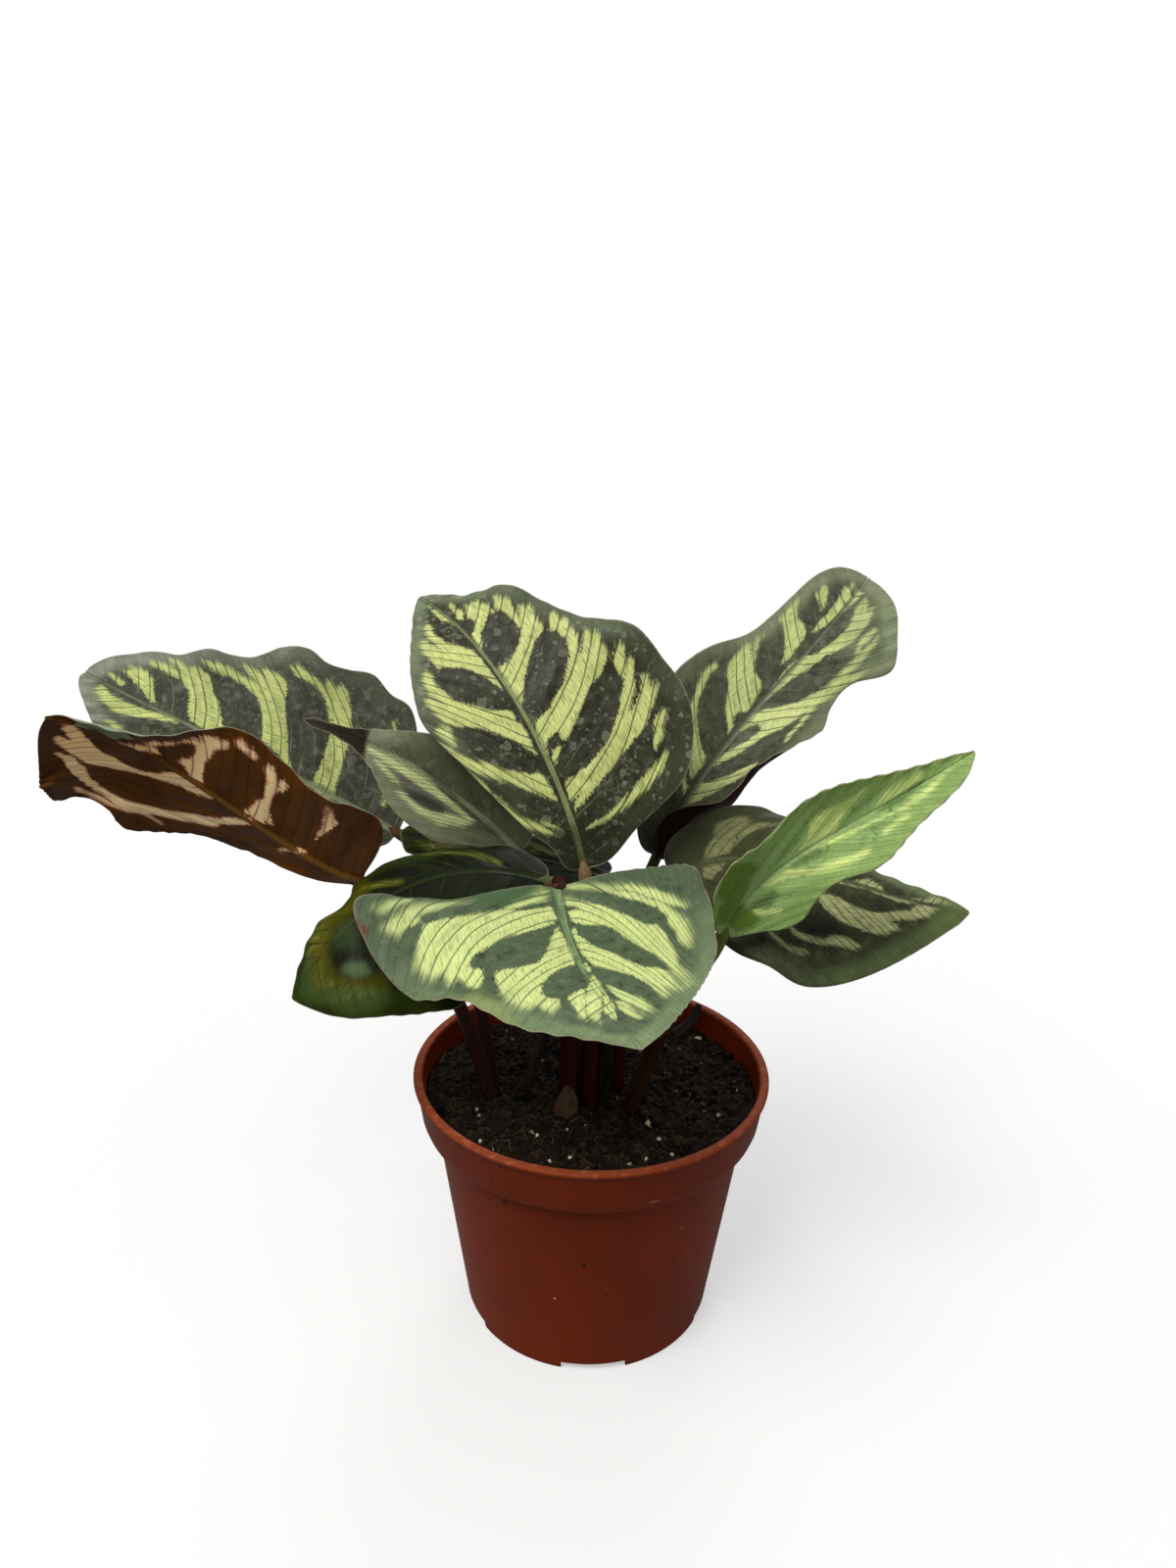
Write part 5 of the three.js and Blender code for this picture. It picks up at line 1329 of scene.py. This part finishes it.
def pot_profile():
    p = POT
    floor_top = p["channel_lift"] + p["floor"]
    ridge_top = COLLAR_FOOT_Z + p["ridge"]
    lip_foot = p["height"] - p["lip"]
    outside = [
        (0, 0), (p["pad"], 0), (p["channel_in"], p["channel_lift"]),
        (p["channel_out"], p["channel_lift"]), (p["channel_out"] + 0.6, 0), (p["foot"], 0),
        (body_radius(1.5), 1.5), (body_radius(20), 20),
        (body_radius(COLLAR_FOOT_Z - 1.2), COLLAR_FOOT_Z - 1.2),
        (p["body_top"] + 0.3, COLLAR_FOOT_Z - 0.3),
        (p["collar_foot"] - p["ridge_depth"] - 0.3, COLLAR_FOOT_Z),
        (p["collar_foot"] - p["ridge_depth"], COLLAR_FOOT_Z + 0.3),
        (collar_radius(ridge_top) - p["ridge_depth"], ridge_top - 0.15),
        (collar_radius(ridge_top), ridge_top + 0.15),
        (collar_radius(lip_foot), lip_foot), (p["rim"], lip_foot + 0.35),
        (p["rim"], p["height"] - 0.25), (p["rim"] - 0.3, p["height"]),
        (p["rim"] - 1.3, p["height"]), (p["rim"] - 1.6, p["height"] - 0.35),
    ]
    within = [
        (collar_radius(ridge_top) - p["wall"] - 0.2, COLLAR_FOOT_Z + 1.4),
        (p["body_top"] - p["wall"], COLLAR_FOOT_Z - 0.6),
        (body_radius(floor_top + 0.8) - p["wall"], floor_top + 0.8),
        (body_radius(floor_top) - p["wall"] - 0.8, floor_top),
        (p["channel_in"] - 0.6, floor_top), (p["pad"] - 0.6, p["floor"]), (0, p["floor"]),
    ]
    return rounded(outside + within, 0.28)


def cut_away(piece, cutters):
    """Cuts a list of small solids out of a piece."""
    tool = bmesh.new()
    for make, matrix in cutters:
        make(tool, matrix)
    mesh = bpy.data.meshes.new("cutter")
    tool.to_mesh(mesh)
    tool.free()
    cutter = bpy.data.objects.new("cutter", mesh)
    bpy.context.collection.objects.link(cutter)
    cut = piece.modifiers.new("cut", "BOOLEAN")
    cut.operation = "DIFFERENCE"
    cut.solver = "EXACT"
    cut.object = cutter
    evaluated = piece.evaluated_get(bpy.context.evaluated_depsgraph_get())
    result = bpy.data.meshes.new_from_object(evaluated)
    piece.modifiers.clear()
    piece.data = result
    bpy.data.objects.remove(cutter)


def pot_material():
    g = new_look("pot_plastic")
    place = g.position()
    up = g.node("ShaderNodeSeparateXYZ", {0: place}, "Z") * 1000.0
    mottled = g.noise(place, 60.0)
    fine = g.noise(place, 700.0, 4.0)
    # mottled body colour, darkened to paint the shade the pot stands in
    colour = g.mix(g.ramp(mottled, 0.3, 0.72), POT_COLOURS["light"], POT_COLOURS["deep"])
    # painted highlight: the top of the lip lighter, with brighter flecks at its very edge
    colour = g.mix(g.ramp(up, 45.2, 45.9, 0.0, 0.75), colour, POT_COLOURS["lip"])
    lip_highlight = g.ramp(fine, 0.5, 0.7) * g.ramp(up, 45.3, 45.9)
    colour = g.mix(lip_highlight * 0.4, colour, "#B06A48")
    for turn, rise, wide, high, tint in POT_MARKS:
        angle = math.radians(turn)
        radius = body_radius(rise) if rise < COLLAR_FOOT_Z else collar_radius(rise)
        spot = Vector((radius * math.cos(angle), radius * math.sin(angle), rise)) * MM
        gap = g.vector_math("SUBTRACT", place, spot)
        gap = g.vector_math("MULTIPLY", gap, (1000 / wide, 1000 / wide, 1000 / high))
        gap = g.vector_math("LENGTH", gap, output="Value") + (fine - 0.5) * 1.6
        colour = g.mix(g.ramp(gap, 0.7, 1.1, 0.9, 0.0), colour, tint)
    rings = g.math("COSINE", up * (2 * math.pi / 0.55)) * g.ramp(up, 37.0, 38.5)
    return g.finish(colour, 0.5, rings * 0.004 + fine * 0.02, Specular_IOR_Level=0.06)


def make_pot():
    p = POT
    profile = pot_profile()
    sides = 240
    angle = round_angles(sides)
    radius, height = profile[1:-1, :, None].transpose(1, 0, 2)
    ring = np.stack([radius * np.cos(angle), radius * np.sin(angle), height + 0 * angle], -1)
    points = np.vstack([ring.reshape(-1, 3), [[0, 0, profile[0, 1]], [0, 0, profile[-1, 1]]]])
    piece = make_object("pot_shell", points, turned_faces(len(ring), sides), [pot_material()])

    def drain(tool, matrix):
        bmesh.ops.create_cone(tool, cap_ends=True, segments=32, radius1=p["drain_radius"] * MM,
                              radius2=p["drain_radius"] * MM, depth=4 * MM, matrix=matrix)

    def notch(tool, matrix):
        size = Matrix.Diagonal((6 * MM, p["notch_width"] * MM, 2 * p["notch_height"] * MM, 1))
        bmesh.ops.create_cube(tool, size=1, matrix=matrix @ size)

    cutters = []
    for turn in round_angles(p["drains"]):
        spot = Vector((math.cos(turn), math.sin(turn), 0)) * p["drain_circle"]
        spot.z = p["channel_lift"] + p["floor"] / 2
        cutters.append((drain, Matrix.Translation(spot * MM)))
    for turn in round_angles(p["notches"]) + math.radians(p["notch_turn"]):
        place = Matrix.Rotation(turn, 4, "Z") @ Matrix.Translation((p["foot"] * MM, 0, 0))
        cutters.append((notch, place))
    cut_away(piece, cutters)
    piece.data.shade_smooth()
    piece.data.set_sharp_from_angle(angle=math.radians(40))
    return seat(piece, "pot", "pot")


# ---------------------------------------------------------------- peat

def soil_height(x, y):
    swell = np.sin(x * 0.21 + 0.8) * np.cos(y * 0.17 - 0.4)
    lumps = np.sin(x * 0.83 + y * 0.31) * np.sin(y * 0.71 - x * 0.23 + 1.1)
    crumbs = np.sin(x * 1.9 - y * 1.3 + 2) * np.sin(y * 1.7 + x * 0.9)
    slope = -SOIL["fall"] * y / POT["rim"]
    return SOIL["level"] + slope + SOIL["lumps"] * (0.9 * swell + 0.7 * lumps + 0.45 * crumbs)


def rough_ground(x, y):
    """Soil surface with its crumbly detail."""
    base = soil_height(x, y)
    out = np.empty_like(base)
    for k in np.ndindex(base.shape):
        p = Vector((x[k], y[k], 0))
        coarse = noise.turbulence(p * 0.45, 3, False)
        fine = noise.turbulence(p * 1.7, 3, False)
        out[k] = base[k] + 0.75 * (coarse - 0.55) + 0.4 * (fine - 0.5)
    return out


def peat_material(name, dark, light, roughness=0.75):
    g = new_look(name)
    place = g.position()
    blot = g.noise(place, 420.0, 5.0, 0.7)
    fine = g.noise(place, 2600.0, 4.0, 0.7)
    patch = g.noise(place, 80.0)
    colour = g.mix(g.ramp(blot, 0.35, 0.72), dark, light)
    colour = g.mix(g.ramp(g.attribute("tint"), 0.0, 1.0), colour, light)
    colour = g.mix(g.ramp(patch, 0.35, 0.7, 0.0, 0.45), colour, dark)
    return g.finish(colour, roughness, blot * 0.7 + fine * 0.22, Specular_IOR_Level=0.12)


def make_bed():
    """The soil: a rough top, and below it a plain body that fills the pot."""
    rings, sides = 92, 280
    angle = round_angles(sides)
    rim_z = soil_height(28 * np.cos(angle), 28 * np.sin(angle)) - 0.5
    above = rim_z - COLLAR_FOOT_Z - SOIL["wall_lift"]
    edge = SOIL["wall"] + SOIL["wall_slope"] * above - SOIL["gap"]
    radius = np.linspace(0.02, 1, rings)[:, None] * edge[None, :]
    x = radius * np.cos(angle)
    y = radius * np.sin(angle)
    z = rough_ground(x, y)
    z[-1] -= 0.5
    top = np.stack([x, y, z], -1).reshape(-1, 3)
    body = SOIL["body"]
    lower = [[(r * math.cos(t), r * math.sin(t), h) for t in angle] for r, h in body]
    middles = [[0, 0, z[0].mean()], [0, 0, body[-1][1]]]
    points = np.vstack([top, np.array(lower).reshape(-1, 3), middles])
    faces = turned_faces(rings + len(body), sides, flip=True)
    piece = make_object("peat_bed", points, faces, [peat_material("peat", "#0B0703", "#251A0E")])
    return seat(piece, "soil", "soil")


def scatter_place(rng, reach):
    radius = reach * math.sqrt(rng.random())
    turn = rng.uniform(0, 2 * math.pi)
    return radius * math.cos(turn), radius * math.sin(turn)


def lump(rng, size, squash):
    """A small uneven lump: twelve corners and twenty faces."""
    g = (1 + math.sqrt(5)) / 2
    corners = np.array([
        (-1, g, 0), (1, g, 0), (-1, -g, 0), (1, -g, 0), (0, -1, g), (0, 1, g),
        (0, -1, -g), (0, 1, -g), (g, 0, -1), (g, 0, 1), (-g, 0, -1), (-g, 0, 1),
    ]) / 1.9
    corners = corners * rng.uniform(0.65, 1.25, (12, 1)) * size
    stretch = rng.uniform(0.7, 1.35, 3) * [1, 1, squash]
    turn = rng.uniform(0, 2 * math.pi)
    c, s = math.cos(turn), math.sin(turn)
    return (corners * stretch) @ np.array([(c, s, 0), (-s, c, 0), (0, 0, 1)])


LUMP_FACES = [
    (0, 11, 5), (0, 5, 1), (0, 1, 7), (0, 7, 10), (0, 10, 11), (1, 5, 9), (5, 11, 4),
    (11, 10, 2), (10, 7, 6), (7, 1, 8), (3, 9, 4), (3, 4, 2), (3, 2, 6), (3, 6, 8),
    (3, 8, 9), (4, 9, 5), (2, 4, 11), (6, 2, 10), (8, 6, 7), (9, 8, 1),
]


def make_lumps(name, rng, spots, squash, rise, tint_power, look, smooth=True):
    """Lumps on the soil. The spots may still draw from the same rng, one spot at a time."""
    points, faces, tints = [], [], []
    for x, y, size in spots:
        z = float(rough_ground(np.array([x]), np.array([y]))[0])
        start = 12 * len(tints)
        points.append(lump(rng, size, squash) + [x, y, z + rise * size])
        faces += [[start + a, start + b, start + c] for a, b, c in LUMP_FACES]
        tints.append(rng.random() ** tint_power)
    piece = make_object(name, np.vstack(points), faces, [look], smooth)
    set_attribute(piece, "tint", np.repeat(tints, 12))
    return seat(piece, "soil")


def make_crumbs():
    rng = np.random.default_rng(11)
    spots = ((*scatter_place(rng, 28), 0.16 + 0.55 * rng.random() ** 3.2) for _ in range(CRUMBS))
    look = peat_material("crumb", "#0F0A05", "#372816")
    return make_lumps("peat_crumbs", rng, spots, 0.75, 0.15, 3, look)


def strand(rng, x, y, length, thick, lift):
    """A thin bent root or fibre lying on the soil."""
    n = 9
    t = np.linspace(0, 1, n)
    turn = rng.uniform(0, 2 * math.pi)
    bend = rng.uniform(-1.6, 1.6)
    heading = turn + bend * t + 0.5 * np.sin(t * 7 + turn)
    step = length / (n - 1)
    xs = x + np.concatenate([[0], np.cumsum(np.cos(heading[1:]) * step)])
    ys = y + np.concatenate([[0], np.cumsum(np.sin(heading[1:]) * step)])
    far = np.hypot(xs, ys)
    pull = np.where(far > 27.8, 27.8 / far, 1)
    xs, ys = xs * pull, ys * pull
    zs = rough_ground(xs, ys) + thick + lift * np.sin(np.pi * t) ** 2
    radii = thick * (1 - 0.75 * t)[:, None] * np.ones((1, 4))
    return tube(np.stack([xs, ys, zs], -1), radii)


def make_fibres():
    rng = np.random.default_rng(23)
    points, faces, tints = [], [], []
    total = 0
    for k in range(FIBRES):
        x, y = scatter_place(rng, 27.2)
        pale = k < PALE_FIBRES
        length = rng.uniform(1.2, 6.5 if pale else 3.8)
        thick = rng.uniform(0.05, 0.09) if pale else rng.uniform(0.05, 0.14)
        p, f = strand(rng, x, y, length, thick, rng.uniform(0, 0.9 if pale else 0.5))
        points.append(p)
        faces += [[total + i for i in face] for face in f]
        total += len(p)
        tints += [1.0 if pale else rng.random() ** 2 * 0.7] * len(p)
    look = peat_material("fibre", "#1C130B", "#6E5436", 0.65)
    piece = make_object("peat_fibres", np.vstack(points), faces, [look])
    set_attribute(piece, "tint", tints)
    return seat(piece, "soil")


def grain_material():
    g = new_look("pale_grain")
    blot = g.noise(g.position(), 900.0, 4.0)
    colour = g.mix(g.ramp(g.attribute("tint"), 0.2, 0.8), "#C9C2A8", "#9A8A5A")
    colour = g.mix(g.ramp(blot, 0.45, 0.7, 0.0, 0.6), colour, "#5A4A34")
    return g.finish(colour, 0.7, blot * 0.3)


def make_grains():
    rng = np.random.default_rng(5)
    spots = list(GRAINS)
    spots += [(*scatter_place(rng, 26.5), rng.uniform(0.14, 0.3)) for _ in range(SMALL_GRAINS)]
    return make_lumps("pale_grains", rng, spots, 0.9, 0.35, 1, grain_material(), smooth=False)


# ---------------------------------------------------------------- stage, lights and camera

CAMERA_DISTANCE = 205.4
CAMERA_RISE = 31.9
CAMERA_AIM_HEIGHT = 46
CAMERA_PITCH = 18.05
CAMERA_YAW = -0.52
CAMERA_ROLL = 1.16
CAMERA_LENS = 26


def make_camera():
    rise, pitch, yaw, roll = np.radians([CAMERA_RISE, CAMERA_PITCH, CAMERA_YAW, CAMERA_ROLL])
    place = Vector((0, -CAMERA_DISTANCE * math.cos(rise),
                    CAMERA_AIM_HEIGHT + CAMERA_DISTANCE * math.sin(rise)))
    level = math.cos(pitch)
    ahead = Vector((math.sin(yaw) * level, math.cos(yaw) * level, -math.sin(pitch)))
    right = ahead.cross(Vector((0, 0, 1))).normalized()
    up = right.cross(ahead)
    right, up = (math.cos(roll) * right + math.sin(roll) * up,
                 -math.sin(roll) * right + math.cos(roll) * up)
    turn = Matrix((right, up, -ahead)).transposed().to_4x4()
    data = bpy.data.cameras.new("camera")
    data.lens = CAMERA_LENS
    data.sensor_width = 36
    data.clip_start = 0.005
    camera = bpy.data.objects.new("camera", data)
    camera.matrix_world = Matrix.Translation(place * MM) @ turn
    bpy.context.collection.objects.link(camera)
    bpy.context.scene.camera = camera


def soft_light(name, place, size, power, colour=(1, 1, 1)):
    data = bpy.data.lights.new(name, "AREA")
    data.shape = "DISK"
    data.size = size
    data.energy = power
    data.color = colour
    light = bpy.data.objects.new(name, data)
    light.location = place
    aim = Vector((0, 0, 0.07)) - Vector(place)
    light.rotation_euler = aim.to_track_quat("-Z", "Y").to_euler()
    bpy.context.collection.objects.link(light)


def make_stage():
    """A pale floor that fades out into a plain white studio."""
    g = new_look("pale_floor")
    far = g.vector_math("LENGTH", g.position(), output="Value")
    look = g.show(g.node("ShaderNodeBsdfPrincipled", {
        "Base Color": "#E4E4E2", "Roughness": 0.9, "Specular IOR Level": 0.0,
        "Alpha": g.ramp(far, 0.03, 0.2, 0.55, 0.0),
    }))
    mesh = bpy.data.meshes.new("floor")
    form = bmesh.new()
    bmesh.ops.create_circle(form, cap_ends=True, segments=96, radius=0.36)
    form.to_mesh(mesh)
    form.free()
    mesh.materials.append(look)
    floor = bpy.data.objects.new("floor", mesh)
    bpy.context.collection.objects.link(floor)

    # the lights and a soft sky light the plant; the camera itself sees a white room
    world = bpy.data.worlds.new("studio")
    bpy.context.scene.world = world
    g = Graph(world, "ShaderNodeOutputWorld")
    heading = g.node("ShaderNodeTexCoord", {}, "Generated")
    rise = g.ramp(g.node("ShaderNodeSeparateXYZ", {0: heading}, "Z"), -0.3, 0.9, 0.07, 0.6)
    sky = g.node("ShaderNodeBackground", {"Color": (0.97, 0.98, 1.0, 1), "Strength": rise})
    room = g.node("ShaderNodeBackground", {"Color": (1, 1, 1, 1)})
    seen = g.node("ShaderNodeLightPath", {}, "Is Camera Ray")
    g.show(g.node("ShaderNodeMixShader", {0: seen, 1: sky, 2: room}))

    soft_light("key", (-0.3, -0.42, 0.78), 0.5, 7.0, (1, 0.985, 0.95))
    soft_light("fill", (0.75, -0.4, 0.45), 0.6, 1.0, (0.98, 0.99, 1))
    soft_light("back", (0.15, 0.7, 0.6), 0.5, 2.0)


# ---------------------------------------------------------------- build

bpy.context.scene.view_settings.view_transform = "Standard"
make_camera()
make_stage()
make_pot()
make_bed()
make_crumbs()
make_fibres()
make_grains()
for number, leaf_name in enumerate(LEAVES):
    make_blade(leaf_name, 100 + number)
    make_petiole(leaf_name, 200 + number)
for number, strip_name in enumerate(STRIPS):
    make_strip(strip_name, 300 + number)
